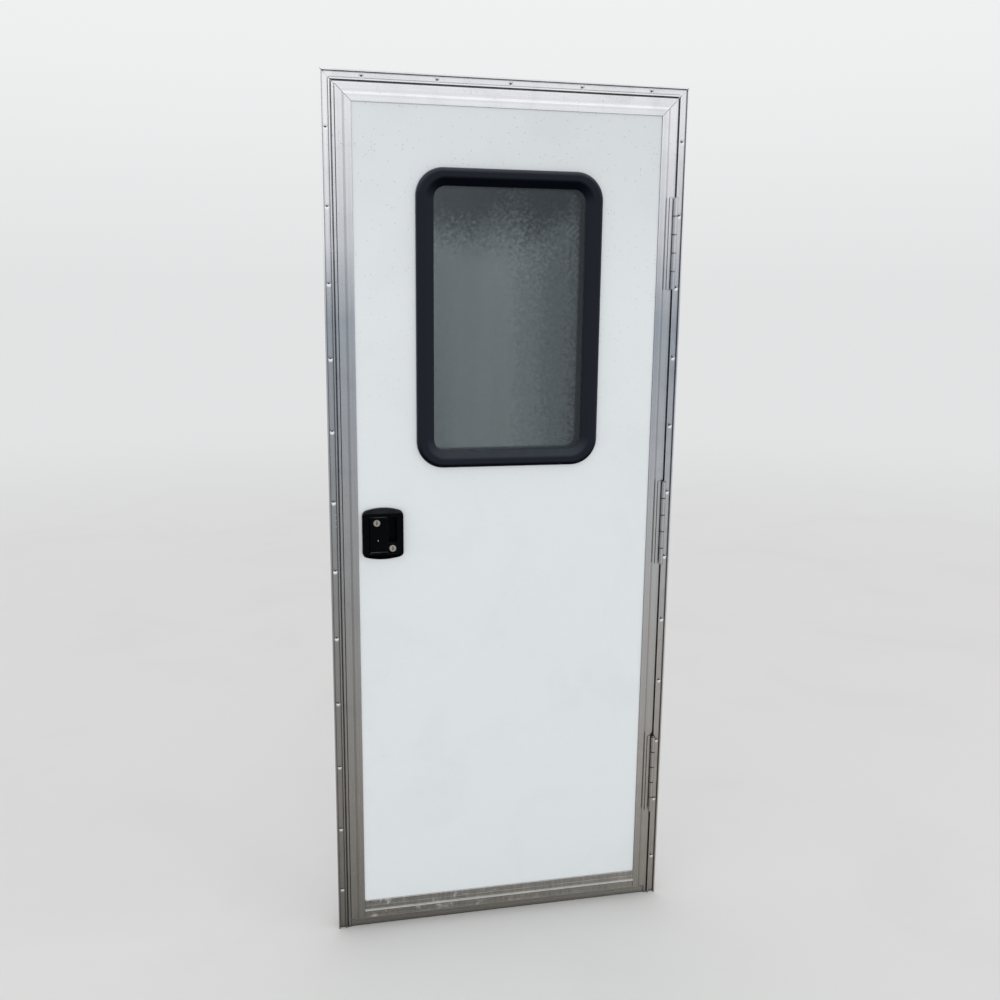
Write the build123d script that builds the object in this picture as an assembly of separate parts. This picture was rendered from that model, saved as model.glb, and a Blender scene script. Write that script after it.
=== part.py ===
from build123d import *
import os

# Caravan entry door: an aluminium jamb frame that screws to the outside of a wall,
# and an outward opening leaf with a window, a paddle lock and three knuckle hinges.
# Millimetres. X runs along the wall, Y points into the caravan, Z is up.
# The origin is the middle of the back face of the sill's mounting flange.

# Jamb frame, its section measured inward from the outer edge
FRAME_W = 762.0
FRAME_H = 1854.0
WALL = 2.0
LIP_W = 3.0
LIP_RISE = 5.0
CHANNEL_W = 13.0
RIB_W = 3.0
SLOT_CLEAR = 0.5
FLAT_RISE = 2.0
OPENING_LEG = 25.4
LANDING_Y = 6.0
LINER_AT = 40.0
LINER_DEPTH = 46.0
SILL_FLANGE_H = 18.0
SILL_STOP_H = 19.0
EXTRUSION_R = 0.4
JAMB_MITRE_GAP = 0.5

# Screw holes in the flange
HOLE_R = 2.2
DIMPLE_R = 5.0
DIMPLE_DEPTH = 1.4
JAMB_HOLES = 12
HOLE_PITCH = 150.0
TOP_HOLE_DROP = 107.0
HEAD_HOLES = 5

# Door leaf, its section measured inward from the leaf's outer edge
LEAF_GAP = 28.0
LEAF_BOTTOM_GAP = 24.0
BAND_FRONT = -11.5
BAND_T = 2.5
OUTER_BAND_W = 13.5
STEP_W = 4.5
STEP_RISE = 2.0
FACE_W = 31.0
BOX_INSET = 20.0
BOX_WALL = 2.0
BACK_FLANGE_W = 18.0
SKIN_T = 1.5
CORE_T = 36.0
LEAF_MITRE_GAP = 0.4
BUTT_GAP = 0.3

# Bottom rail face, measured up from the leaf's bottom edge
RAIL_FACE_H = 43.0
DRIP_AT = 17.0
DRIP_H = 4.0
DRIP_RISE = 4.0
GROOVE_AT = 31.0
GROOVE_H = 3.0
GROOVE_DEPTH = 0.8

# Weather seal on the landing
SEAL_W = 8.0
SEAL_CLEAR = 5.0

# Hinges
HINGE_COUNT = 3
HINGE_PITCH = 609.6
KNUCKLES = 5
KNUCKLE_L = 38.1
KNUCKLE_R = 5.0
KNUCKLE_GAP = 0.9
HINGE_LEAF_T = 2.5
HINGE_AT = 24.0
HINGE_Y = -18.0
DOOR_LEAF_REACH = 12.0
PIN_R = 2.4
PIN_CLEAR = 0.05
PIN_PROUD = 0.6
LEAF_CLEAR = 0.6

# Window
WINDOW_W = 393.0
WINDOW_H = 611.0
WINDOW_R = 57.0
WINDOW_DROP = 149.0
RING_W = 36.5
RING_END_W = 35.5
APERTURE_R = 25.0
RING_RISE = 12.5
RING_OUTER_ROUND = 9.0
RING_SLOPE_RUN = 16.0
RING_SLOPE_DROP = 8.0
RING_CREASE_R = 12.0
GLASS_BITE = 6.0
GLASS_T = 4.0
GLASS_SINK = 9.5
GLASS_CLEAR = 0.5
NECK_T = 4.0
NECK_DEPTH = 17.0
CUTOUT_CLEAR = 2.0
TRIM_RISE = 6.0
TRIM_ROUND = 3.0

# Paddle lock, placed from the leaf's outer edge and seen from outside
LOCK_FROM_EDGE = 82.5
BEZEL_W = 87.0
BEZEL_H = 112.0
BEZEL_BOW = 8.5
BEZEL_CORNER_R = 12.0
BEZEL_RISE = 12.0
BEZEL_ROUND = 2.5
FACET_AT = 45.0
FACET_EDGE = 5.0
PAN_W = 60.0
PAN_TOP = 38.5
PAN_BOTTOM = -42.5
PAN_WALL = 3.0
PAN_DEPTH = 27.0
LOCK_CUTOUT_R = 3.0
PADDLE_W = 39.5
PADDLE_CLEAR = 1.0
PADDLE_T = 4.0
PADDLE_SINK = 2.5
PADDLE_RIM_R = 1.2
PADDLE_RIM_INSET = 1.6
PADDLE_BARREL_R = 2.5
PADDLE_PIN_R = 1.2
PIN_SOCKET = 2.0
BOSS_TOP = -21.0
PLUG_R = 7.4
PLUG_CLEAR = 0.05
PLUG_PROUD = 1.0
PLUG_L = 13.0
PLUG_BEVEL = 0.6
PADDLE_PLUG_X = -12.9
PADDLE_PLUG_Z = 24.3
BOLT_PLUG_X = 20.4
BOLT_PLUG_Z = -31.5
KEYWAY_W = 2.0
KEYWAY_H = 8.0
KEYWAY_DEPTH = 5.0

# Lock case, bolts and the inside of the lock
CASE_W = 56.0
CASE_H = 84.0
LATCH_H = 18.0
DEADBOLT_H = 14.0
BOLT_T = 12.0
LATCH_Z = 14.0
STRIKE_T = 1.5
STRIKE_H = 116.0
STRIKE_W = 26.0
STRIKE_CLEAR = 1.5
INNER_PLATE_T = 5.0
LEVER_HUB_R = 15.0
LEVER_HUB_L = 22.0
LEVER_L = 78.0
LEVER_W = 18.0
LEVER_T = 9.0
LEVER_ROUND = 2.0
KNOB_R = 11.0
KNOB_L = 8.0
KNOB_GRIP_W = 6.0
KNOB_GRIP_L = 11.0

# Levels that follow from the sizes above
HALF_W = FRAME_W / 2
FRAME_BOTTOM = -SILL_FLANGE_H / 2
FRAME_TOP = FRAME_BOTTOM + FRAME_H
MID_Z = (FRAME_BOTTOM + FRAME_TOP) / 2
RIB_AT = LIP_W + CHANNEL_W
RIB_END = RIB_AT + RIB_W
SLOT_END = RIB_END + HINGE_LEAF_T + SLOT_CLEAR
FLAT_FRONT = -WALL - FLAT_RISE
LEG_END = OPENING_LEG + WALL
LINER_X = HALF_W - LINER_AT
LEAF_X = HALF_W - LEAF_GAP
LEAF_TOP = FRAME_TOP - LEAF_GAP
LEAF_BOTTOM = FRAME_BOTTOM + LEAF_BOTTOM_GAP
FACE_FRONT = BAND_FRONT - STEP_RISE
SKIN_FRONT = FACE_FRONT + BAND_T
CORE_FRONT = SKIN_FRONT + SKIN_T
CORE_BACK = CORE_FRONT + CORE_T
INNER_FACE = CORE_BACK + SKIN_T
LEAF_BACK = INNER_FACE + BOX_WALL
BOX_END = BOX_INSET + BOX_WALL
BOX_X = LEAF_X - BOX_END
HINGE_X = HALF_W - HINGE_AT
HINGE_L = KNUCKLES * KNUCKLE_L
LOCK_X = -LEAF_X + LOCK_FROM_EDGE
LOCK_Z = MID_Z
WINDOW_Z = LEAF_TOP - WINDOW_DROP - WINDOW_H / 2
APERTURE_W = WINDOW_W - 2 * RING_W
APERTURE_H = WINDOW_H - 2 * RING_END_W
RING_FRONT = SKIN_FRONT - RING_RISE
GLASS_FRONT = RING_FRONT + GLASS_SINK
GLASS_BACK = GLASS_FRONT + GLASS_T
BEZEL_FRONT = SKIN_FRONT - BEZEL_RISE
PADDLE_FRONT = BEZEL_FRONT + PADDLE_SINK
PADDLE_BACK = PADDLE_FRONT + PADDLE_T
PADDLE_LEFT = -PAN_W / 2 + PADDLE_CLEAR
PADDLE_RIGHT = PADDLE_LEFT + PADDLE_W
PADDLE_AXIS_X = PADDLE_LEFT + PADDLE_BARREL_R
PADDLE_AXIS_Y = PADDLE_FRONT + PADDLE_BARREL_R
PAN_FLOOR_Y = BEZEL_FRONT + PAN_DEPTH
PAN_BACK = PAN_FLOOR_Y + PAN_WALL
BOLT_Y = (PAN_BACK + CORE_BACK) / 2


# Planes and simple helpers

def seen_from_outside(x, y, z):
    """A plane facing the outside, with X to the right and Z up."""
    return Plane(origin=(x, y, z), x_dir=(1, 0, 0), z_dir=(0, -1, 0))


def between_depths(sketch, x, z, front, back):
    """Extrude a sketch drawn as seen from outside, from one depth to another."""
    return extrude(seen_from_outside(x, back, z) * sketch, amount=back - front)


def block(x0, x1, y0, y1, z0, z1):
    """A box between two corners."""
    return Pos((x0 + x1) / 2, (y0 + y1) / 2, (z0 + z1) / 2) * Box(x1 - x0, y1 - y0, z1 - z0)


def upright(radius, x, y, z0, z1):
    """A round bar along Z."""
    return Pos(x, y, (z0 + z1) / 2) * Cylinder(radius, z1 - z0)


def through(radius, x, z, front, back):
    """A round bar along Y."""
    return between_depths(Circle(radius), x, z, front, back)


def turn(before, corner, after):
    """The signed turn of an outline at one of its corners."""
    into = (corner[0] - before[0], corner[1] - before[1])
    out = (after[0] - corner[0], after[1] - corner[1])
    return into[0] * out[1] - into[1] * out[0]


def section_face(outline, corner_r=EXTRUSION_R):
    """The face inside an outline of points, with its outer corners rounded as an extrusion's are."""
    face = make_face(Polyline(*outline, close=True))
    if not corner_r:
        return face
    neighbours = list(zip(outline[-1:] + outline[:-1], outline, outline[1:] + outline[:1]))
    winding = sum(a[0] * b[1] - a[1] * b[0] for a, b, _ in neighbours)
    outer = [Vector(*b) for a, b, c in neighbours if turn(a, b, c) * winding > 0]
    near = corner_r / 2
    corners = [v for v in face.vertices() if any((Vector(v) - place).length < near for place in outer)]
    return fillet(corners, corner_r)


def upright_bar(face, z0, z1):
    """Extrude a section drawn in (x, y) along Z."""
    return extrude(Pos(0, 0, z0) * face, amount=z1 - z0, dir=(0, 0, 1))


def level_bar(face, x0, x1):
    """Extrude a section drawn in (y, z) along X."""
    plane = Plane(origin=(x0, 0, 0), x_dir=(0, 1, 0), z_dir=(1, 0, 0))
    return extrude(plane * face, amount=x1 - x0, dir=(1, 0, 0))


def mitre(side, x, z, shift):
    """The 45 degree plane through an upper corner, shifted along its normal, with the head on top."""
    return Plane(origin=(side * x, 0, z), z_dir=(-side, 0, 1)).offset(shift)


# Jamb frame

def jamb_section():
    """Lip, screw channel, rib, hinge slot, flat, seal landing and liner, as (inward, depth) points."""
    lip = -WALL - LIP_RISE
    return [(0, lip), (LIP_W, lip), (LIP_W, -WALL), (RIB_AT, -WALL), (RIB_AT, lip), (RIB_END, lip),
            (RIB_END, -WALL), (SLOT_END, -WALL), (SLOT_END, FLAT_FRONT), (LEG_END, FLAT_FRONT),
            (LEG_END, LANDING_Y), (LINER_AT, LANDING_Y),
            (LINER_AT, LINER_DEPTH), (LINER_AT - WALL, LINER_DEPTH), (LINER_AT - WALL, LANDING_Y + WALL),
            (OPENING_LEG, LANDING_Y + WALL), (OPENING_LEG, 0), (0, 0)]


def screw_hole(x, z):
    """One flange hole with the dimple that seats a screw head."""
    cone = Cone(HOLE_R, DIMPLE_R, DIMPLE_DEPTH)
    dimple = seen_from_outside(x, DIMPLE_DEPTH / 2 - WALL, z) * cone
    return through(HOLE_R, x, z, -WALL, 0) + dimple


def jamb(side):
    """An upright of the frame, mitred at the top and cut square at the bottom."""
    face = section_face([(side * (HALF_W - u), y) for u, y in jamb_section()])
    bar = upright_bar(face, FRAME_BOTTOM, FRAME_TOP)
    bar = split(bar, mitre(side, HALF_W, FRAME_TOP, -JAMB_MITRE_GAP), Keep.BOTTOM)
    hole_x = side * (HALF_W - (LIP_W + RIB_AT) / 2)
    for row in range(JAMB_HOLES):
        bar -= screw_hole(hole_x, FRAME_TOP - TOP_HOLE_DROP - HOLE_PITCH * row)
    return bar


def latch_jamb():
    """The upright on the lock's side, with slots in its liner for the two bolts."""
    bar = jamb(-1)
    for slot in bolt_slots():
        bar -= slot
    return bar


def head_jamb():
    """The top of the frame, mitred at both ends."""
    bar = level_bar(section_face([(y, FRAME_TOP - u) for u, y in jamb_section()]), -HALF_W, HALF_W)
    for side in (-1, 1):
        bar = split(bar, mitre(side, HALF_W, FRAME_TOP, JAMB_MITRE_GAP), Keep.TOP)
    for hole in range(HEAD_HOLES):
        hole_x = HOLE_PITCH * (hole - (HEAD_HOLES - 1) / 2)
        bar -= screw_hole(hole_x, FRAME_TOP - (LIP_W + RIB_AT) / 2)
    return bar


def sill():
    """The threshold: a flange on the wall, a tread and a rear stop, cut round the jambs."""
    top = -FRAME_BOTTOM
    stop = top + SILL_STOP_H
    outline = [(-WALL, FRAME_BOTTOM), (-WALL, top), (LINER_DEPTH - WALL, top), (LINER_DEPTH - WALL, stop),
               (LINER_DEPTH, stop), (LINER_DEPTH, top - WALL), (0, top - WALL), (0, FRAME_BOTTOM)]
    wide = HALF_W - LEG_END
    bar = level_bar(section_face(outline), -wide, wide)
    for x0, x1 in ((-wide, -LINER_X), (LINER_X, wide)):
        bar -= block(x0, x1, LANDING_Y, LINER_DEPTH, FRAME_BOTTOM, stop)
    return bar


def seal_section():
    """The seal's two sides, measured inward, and the depth of its nose."""
    front = BAND_FRONT + BAND_T + SEAL_CLEAR
    middle = (LEG_END + LINER_AT) / 2
    return middle - SEAL_W / 2, middle + SEAL_W / 2, front


def seal_face(place):
    """The seal's section: a square foot with a round nose."""
    near, far, front = seal_section()
    shoulder = front + SEAL_W / 2
    foot = Polyline(place(near, shoulder), place(near, LANDING_Y), place(far, LANDING_Y),
                    place(far, shoulder))
    nose = ThreePointArc(place(far, shoulder), place((near + far) / 2, front), place(near, shoulder))
    return make_face([foot, nose])


def jamb_seal(side):
    """The bulb seal on an upright's landing."""
    near = seal_section()[0]
    return upright_bar(seal_face(lambda u, y: (side * (HALF_W - u), y)), -FRAME_BOTTOM, FRAME_TOP - near)


def head_seal():
    """The bulb seal under the head, between the two upright seals."""
    reach = HALF_W - seal_section()[1] - BUTT_GAP
    return level_bar(seal_face(lambda u, y: (y, FRAME_TOP - u)), -reach, reach)


def bolt_slots():
    """The room that the latch and the deadbolt need in the liner and the strike plate."""
    slots = []
    for z, height in ((LOCK_Z + LATCH_Z, LATCH_H), (LOCK_Z + BOLT_PLUG_Z, DEADBOLT_H)):
        half_t = BOLT_T / 2 + STRIKE_CLEAR
        half_h = height / 2 + STRIKE_CLEAR
        slots.append(block(-LINER_X - WALL, -LINER_X + STRIKE_T, BOLT_Y - half_t, BOLT_Y + half_t,
                           z - half_h, z + half_h))
    return slots


def strike_plate():
    """The keeper on the latch side liner."""
    plate = block(-LINER_X, -LINER_X + STRIKE_T, BOLT_Y - STRIKE_W / 2, BOLT_Y + STRIKE_W / 2,
                  LOCK_Z - STRIKE_H / 2, LOCK_Z + STRIKE_H / 2)
    for slot in bolt_slots():
        plate -= slot
    return plate


# Hinges

def hinge_levels():
    """The middle height of each hinge, from the lowest up."""
    return [MID_Z + HINGE_PITCH * (i - (HINGE_COUNT - 1) / 2) for i in range(HINGE_COUNT)]


def knuckle_rows(z, first):
    """The lower and upper end of every second knuckle."""
    rows = []
    for i in range(first, KNUCKLES, 2):
        low = z - HINGE_L / 2 + KNUCKLE_L * i
        rows.append((low + KNUCKLE_GAP / 2, low + KNUCKLE_L - KNUCKLE_GAP / 2))
    return rows


def hinge_leaf(plate, root, z, first):
    """A leaf: its plate, and the knuckles with their roots, bored for the pin."""
    leaf = block(*plate, z - HINGE_L / 2, z + HINGE_L / 2)
    for low, high in knuckle_rows(z, first):
        leaf += upright(KNUCKLE_R, HINGE_X, HINGE_Y, low, high) + block(*root, low, high)
    return leaf - upright(PIN_R + PIN_CLEAR, HINGE_X, HINGE_Y, z - HINGE_L, z + HINGE_L)


def frame_leaf(z):
    """The leaf that stands in the slot, against the rib."""
    right = HALF_W - RIB_END
    left = right - HINGE_LEAF_T
    cut_back = HINGE_Y + KNUCKLE_R + LEAF_CLEAR
    return hinge_leaf((left, right, cut_back, -WALL), (left, right, HINGE_Y, cut_back), z, 0)


def door_leaf(z):
    """The leaf that lies on the outer band of the hinge stile."""
    front = BAND_FRONT - HINGE_LEAF_T
    cut_back = HINGE_X - KNUCKLE_R - LEAF_CLEAR
    plate = (HINGE_X - DOOR_LEAF_REACH, cut_back, front, BAND_FRONT)
    return hinge_leaf(plate, (cut_back, HINGE_X, front, BAND_FRONT), z, 1)


def hinge_pin(z):
    """The pin through all the knuckles of one hinge."""
    reach = HINGE_L / 2 + PIN_PROUD
    return upright(PIN_R, HINGE_X, HINGE_Y, z - reach, z + reach)


# Door leaf

def leaf_section():
    """Outer band, step, inner band, box wall and back flange, as (inward, depth) points."""
    step_end = OUTER_BAND_W + STEP_W
    flange_end = BOX_INSET + BACK_FLANGE_W
    return [(0, BAND_FRONT), (OUTER_BAND_W, BAND_FRONT), (step_end, FACE_FRONT), (FACE_W, FACE_FRONT),
            (FACE_W, SKIN_FRONT), (BOX_END, SKIN_FRONT), (BOX_END, INNER_FACE), (flange_end, INNER_FACE),
            (flange_end, LEAF_BACK), (BOX_INSET, LEAF_BACK), (BOX_INSET, BAND_FRONT + BAND_T),
            (0, BAND_FRONT + BAND_T)]


def stile(side):
    """An upright of the leaf, mitred at the top and cut square at the bottom."""
    face = section_face([(side * (LEAF_X - v), y) for v, y in leaf_section()])
    bar = upright_bar(face, LEAF_BOTTOM, LEAF_TOP)
    return split(bar, mitre(side, LEAF_X, LEAF_TOP, -LEAF_MITRE_GAP), Keep.BOTTOM)


def latch_stile():
    """The upright on the lock's side, with the two bolts' holes in its edge."""
    bar = stile(-1)
    for bolt in (latch_bolt(), deadbolt()):
        bar -= bolt
    return bar


def head_rail():
    """The top of the leaf, mitred at both ends."""
    bar = level_bar(section_face([(y, LEAF_TOP - v) for v, y in leaf_section()]), -LEAF_X, LEAF_X)
    for side in (-1, 1):
        bar = split(bar, mitre(side, LEAF_X, LEAF_TOP, LEAF_MITRE_GAP), Keep.TOP)
    return bar


def bottom_rail():
    """The bottom of the leaf, butted between the stiles, with a drip lip and a groove."""
    base = LEAF_BOTTOM
    band_back = BAND_FRONT + BAND_T
    drip_top = DRIP_AT + DRIP_H
    drip_front = FACE_FRONT - DRIP_RISE
    groove_top = GROOVE_AT + GROOVE_H
    groove_floor = FACE_FRONT + GROOVE_DEPTH
    face = [(BAND_FRONT, 0), (BAND_FRONT, DRIP_AT), (drip_front, DRIP_AT), (drip_front, drip_top),
            (FACE_FRONT, drip_top), (FACE_FRONT, GROOVE_AT), (groove_floor, GROOVE_AT),
            (groove_floor, groove_top), (FACE_FRONT, groove_top), (FACE_FRONT, RAIL_FACE_H),
            (SKIN_FRONT, RAIL_FACE_H), (SKIN_FRONT, DRIP_AT), (band_back, DRIP_AT), (band_back, 0)]
    wall = [(SKIN_FRONT, BOX_INSET), (SKIN_FRONT, BOX_END), (INNER_FACE, BOX_END), (INNER_FACE, BOX_INSET)]
    flange = [(INNER_FACE, BOX_INSET), (INNER_FACE, BOX_INSET + BACK_FLANGE_W),
              (LEAF_BACK, BOX_INSET + BACK_FLANGE_W), (LEAF_BACK, BOX_INSET)]
    rail = Part()
    for outline, reach, corner_r in ((face, LEAF_X - FACE_W - BUTT_GAP, EXTRUSION_R), (wall, BOX_X, 0),
                                     (flange, BOX_X + BOX_WALL - BACK_FLANGE_W - BUTT_GAP, 0)):
        section = section_face([(y, base + z) for y, z in outline], corner_r)
        rail += level_bar(section, -reach, reach)
    return rail


def window_rectangle(inset_from_aperture):
    """The window's aperture, grown by a margin all round."""
    grow = 2 * inset_from_aperture
    return RectangleRounded(APERTURE_W + grow, APERTURE_H + grow, APERTURE_R + inset_from_aperture)


def panel_sheet(front, back):
    """One layer of the panel, with the cut-outs for the window and the lock."""
    sheet = block(-BOX_X, BOX_X, front, back, LEAF_BOTTOM + BOX_END, LEAF_TOP - BOX_END)
    cutout = GLASS_BITE + GLASS_CLEAR + NECK_T + CUTOUT_CLEAR
    sheet -= between_depths(window_rectangle(cutout), 0, WINDOW_Z, front, back)
    return sheet - lock_cutout(front, back)


def foam_core():
    """The insulating core, cut for the window, the lock and its bolts."""
    core = panel_sheet(CORE_FRONT, CORE_BACK)
    for bolt in (latch_bolt(), deadbolt()):
        core -= bolt
    return core


# Window

def front_face(body):
    """The flat face of a body that lies furthest out."""
    return body.faces().filter_by(Plane.XZ).sort_by(Axis.Y)[0]


def window_outer_frame():
    """The outer ring, rounded outside and sloped in to the glass, with the neck that holds the glass."""
    ring = RectangleRounded(WINDOW_W, WINDOW_H, WINDOW_R)
    body = between_depths(ring, 0, WINDOW_Z, RING_FRONT, SKIN_FRONT)
    pocket = GLASS_BITE + GLASS_CLEAR
    neck_back = SKIN_FRONT + NECK_DEPTH
    body += between_depths(window_rectangle(pocket + NECK_T), 0, WINDOW_Z, SKIN_FRONT, neck_back)
    body -= between_depths(window_rectangle(0), 0, WINDOW_Z, RING_FRONT, GLASS_FRONT)
    body -= between_depths(window_rectangle(pocket), 0, WINDOW_Z, GLASS_FRONT, neck_back)
    body = fillet(front_face(body).outer_wire().edges(), RING_OUTER_ROUND)
    crown = front_face(body)
    body = chamfer(crown.inner_wires()[0].edges(), RING_SLOPE_RUN, RING_SLOPE_DROP, reference=crown)
    return fillet(front_face(body).inner_wires()[0].edges(), RING_CREASE_R)


def window_glass():
    """The pane of obscure glass, seated against the back of the ring."""
    return between_depths(window_rectangle(GLASS_BITE), 0, WINDOW_Z, GLASS_FRONT, GLASS_BACK)


def window_inner_frame():
    """The trim ring inside, whose neck clamps the glass."""
    ring = RectangleRounded(WINDOW_W, WINDOW_H, WINDOW_R)
    body = between_depths(ring, 0, WINDOW_Z, INNER_FACE, INNER_FACE + TRIM_RISE)
    body += between_depths(window_rectangle(GLASS_BITE), 0, WINDOW_Z, GLASS_BACK, INNER_FACE)
    body -= between_depths(window_rectangle(0), 0, WINDOW_Z, GLASS_BACK, INNER_FACE + TRIM_RISE)
    back = body.faces().sort_by(Axis.Y)[-1]
    return fillet(back.edges(), TRIM_ROUND)


# Lock

def bowed_outline(width, height, bow, corner):
    """Straight sides and bowed ends, with rounded corners."""
    half = width / 2
    side = height / 2 - bow
    right = Line((half, -side), (half, side))
    top = ThreePointArc((half, side), (0, height / 2), (-half, side))
    left = Line((-half, side), (-half, -side))
    bottom = ThreePointArc((-half, -side), (0, -height / 2), (half, -side))
    face = make_face([right, top, left, bottom])
    return fillet(face.vertices(), corner)


def pan_block(grow, front, back):
    """The lock's pan in plan, grown by a margin, from one depth to another."""
    half = PAN_W / 2 + grow
    low = LOCK_Z + PAN_BOTTOM - grow
    high = LOCK_Z + PAN_TOP + grow
    return block(LOCK_X - half, LOCK_X + half, front, back, low, high)


def lock_cutout(front, back):
    """The hole in the panel that the lock's pan drops into, with routed corners."""
    grow = 2 * (PAN_WALL + CUTOUT_CLEAR)
    outline = RectangleRounded(PAN_W + grow, PAN_TOP - PAN_BOTTOM + grow, LOCK_CUTOUT_R)
    return between_depths(outline, LOCK_X, LOCK_Z + (PAN_TOP + PAN_BOTTOM) / 2, front, back)


def paddle_space():
    """The room between the pan's walls, less the boss of the deadbolt's cylinder."""
    space = pan_block(0, BEZEL_FRONT, PAN_FLOOR_Y)
    boss = block(LOCK_X + PADDLE_RIGHT + PADDLE_CLEAR, LOCK_X + PAN_W / 2, PADDLE_FRONT, PAN_FLOOR_Y,
                 LOCK_Z + PAN_BOTTOM, LOCK_Z + BOSS_TOP)
    return space - boss


def paddle_pin_bar(radius):
    """The paddle's pivot, from the pan's lower wall into its upper one."""
    return upright(radius, LOCK_X + PADDLE_AXIS_X, PADDLE_AXIS_Y, LOCK_Z + PAN_BOTTOM - PIN_SOCKET,
                   LOCK_Z + PAN_TOP + PIN_SOCKET)


def facet_plane(end):
    """The slope from the bezel's flat face back to its bowed top or bottom edge."""
    run = BEZEL_H / 2 - FACET_AT
    drop = BEZEL_RISE - FACET_EDGE
    return Plane(origin=(LOCK_X, BEZEL_FRONT, LOCK_Z + end * FACET_AT), z_dir=(0, -run, end * drop))


def lock_bezel():
    """The moulded outer half of the lock: bezel, finger pan and deadbolt boss."""
    outline = bowed_outline(BEZEL_W, BEZEL_H, BEZEL_BOW, BEZEL_CORNER_R)
    body = between_depths(outline, LOCK_X, LOCK_Z, BEZEL_FRONT, SKIN_FRONT)
    for end in (-1, 1):
        body = split(body, facet_plane(end), Keep.BOTTOM)
    rims = body.edges().group_by(Axis.Y)[-1]
    body = fillet(body.edges() - rims - body.edges().filter_by(Axis.Y), BEZEL_ROUND)
    body += pan_block(PAN_WALL, SKIN_FRONT, PAN_BACK)
    body -= paddle_space()
    body -= through(PLUG_R + PLUG_CLEAR, LOCK_X + BOLT_PLUG_X, LOCK_Z + BOLT_PLUG_Z, PADDLE_FRONT,
                    PADDLE_FRONT + PLUG_L)
    return body - paddle_pin_bar(PADDLE_PIN_R + PIN_CLEAR)


def lock_paddle():
    """The pull handle, pivoted on a pin along its left edge, bored for its cylinder."""
    low = LOCK_Z + PAN_BOTTOM + PADDLE_CLEAR
    high = LOCK_Z + PAN_TOP - PADDLE_CLEAR
    axis_x = LOCK_X + PADDLE_AXIS_X
    body = block(axis_x, LOCK_X + PADDLE_RIGHT, PADDLE_FRONT, PADDLE_BACK, low, high)
    for rim in (low + PADDLE_RIM_INSET, high - PADDLE_RIM_INSET):
        bead = Pos(PADDLE_FRONT, rim) * Circle(PADDLE_RIM_R)
        body += level_bar(bead, axis_x, LOCK_X + PADDLE_RIGHT)
    body += upright(PADDLE_BARREL_R, axis_x, PADDLE_AXIS_Y, low, high)
    body -= through(PLUG_R + PLUG_CLEAR, LOCK_X + PADDLE_PLUG_X, LOCK_Z + PADDLE_PLUG_Z, PADDLE_FRONT,
                    PADDLE_BACK)
    return body - paddle_pin_bar(PADDLE_PIN_R + PIN_CLEAR)


def key_plug(x, z):
    """A key cylinder's plug with its keyway."""
    front = PADDLE_FRONT - PLUG_PROUD
    plug = through(PLUG_R, LOCK_X + x, LOCK_Z + z, front, PADDLE_FRONT + PLUG_L)
    plug = chamfer(plug.edges().group_by(Axis.Y)[0], PLUG_BEVEL)
    keyway = Rectangle(KEYWAY_W, KEYWAY_H)
    return plug - between_depths(keyway, LOCK_X + x, LOCK_Z + z, front, front + KEYWAY_DEPTH)


def lock_case():
    """The mechanism's case between the pan and the inner plate."""
    return block(LOCK_X - CASE_W / 2, LOCK_X + CASE_W / 2, PAN_BACK, INNER_FACE, LOCK_Z - CASE_H / 2,
                 LOCK_Z + CASE_H / 2)


def lock_bolt(z, height):
    """A bolt from the lock's case to the leaf's edge, drawn back flush."""
    return block(-BOX_X - BOX_WALL, LOCK_X - CASE_W / 2, BOLT_Y - BOLT_T / 2, BOLT_Y + BOLT_T / 2,
                 LOCK_Z + z - height / 2, LOCK_Z + z + height / 2)


def latch_bolt():
    """The spring latch."""
    return lock_bolt(LATCH_Z, LATCH_H)


def deadbolt():
    """The deadbolt, below the latch."""
    return lock_bolt(BOLT_PLUG_Z, DEADBOLT_H)


def lock_inner_plate():
    """The inside plate of the lock."""
    outline = bowed_outline(BEZEL_W, BEZEL_H, BEZEL_BOW, BEZEL_CORNER_R)
    plate = between_depths(outline, LOCK_X, LOCK_Z, INNER_FACE, INNER_FACE + INNER_PLATE_T)
    return fillet(plate.faces().sort_by(Axis.Y)[-1].edges(), INNER_PLATE_T / 2)


def inner_lever():
    """The inside lever: a round hub and an arm that points to the hinges."""
    face = INNER_FACE + INNER_PLATE_T
    end = face + LEVER_HUB_L
    z = LOCK_Z + LATCH_Z
    lever = through(LEVER_HUB_R, LOCK_X, z, face, end - LEVER_T)
    arm = Pos(LEVER_L / 2 - LEVER_HUB_R / 2, 0) * SlotOverall(LEVER_L + LEVER_HUB_R, LEVER_W)
    grip = between_depths(arm, LOCK_X, z, end - LEVER_T, end)
    return lever + fillet(grip.edges().group_by(Axis.Y)[-1], LEVER_ROUND)


def deadbolt_knob():
    """The inside thumb turn of the deadbolt."""
    face = INNER_FACE + INNER_PLATE_T
    z = LOCK_Z + BOLT_PLUG_Z
    knob = through(KNOB_R, LOCK_X, z, face, face + KNOB_L)
    grip = SlotOverall(2 * KNOB_R, KNOB_GRIP_W)
    return knob + between_depths(grip, LOCK_X, z, face + KNOB_L, face + KNOB_L + KNOB_GRIP_L)


# Every sub-part under the name of its node

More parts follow.
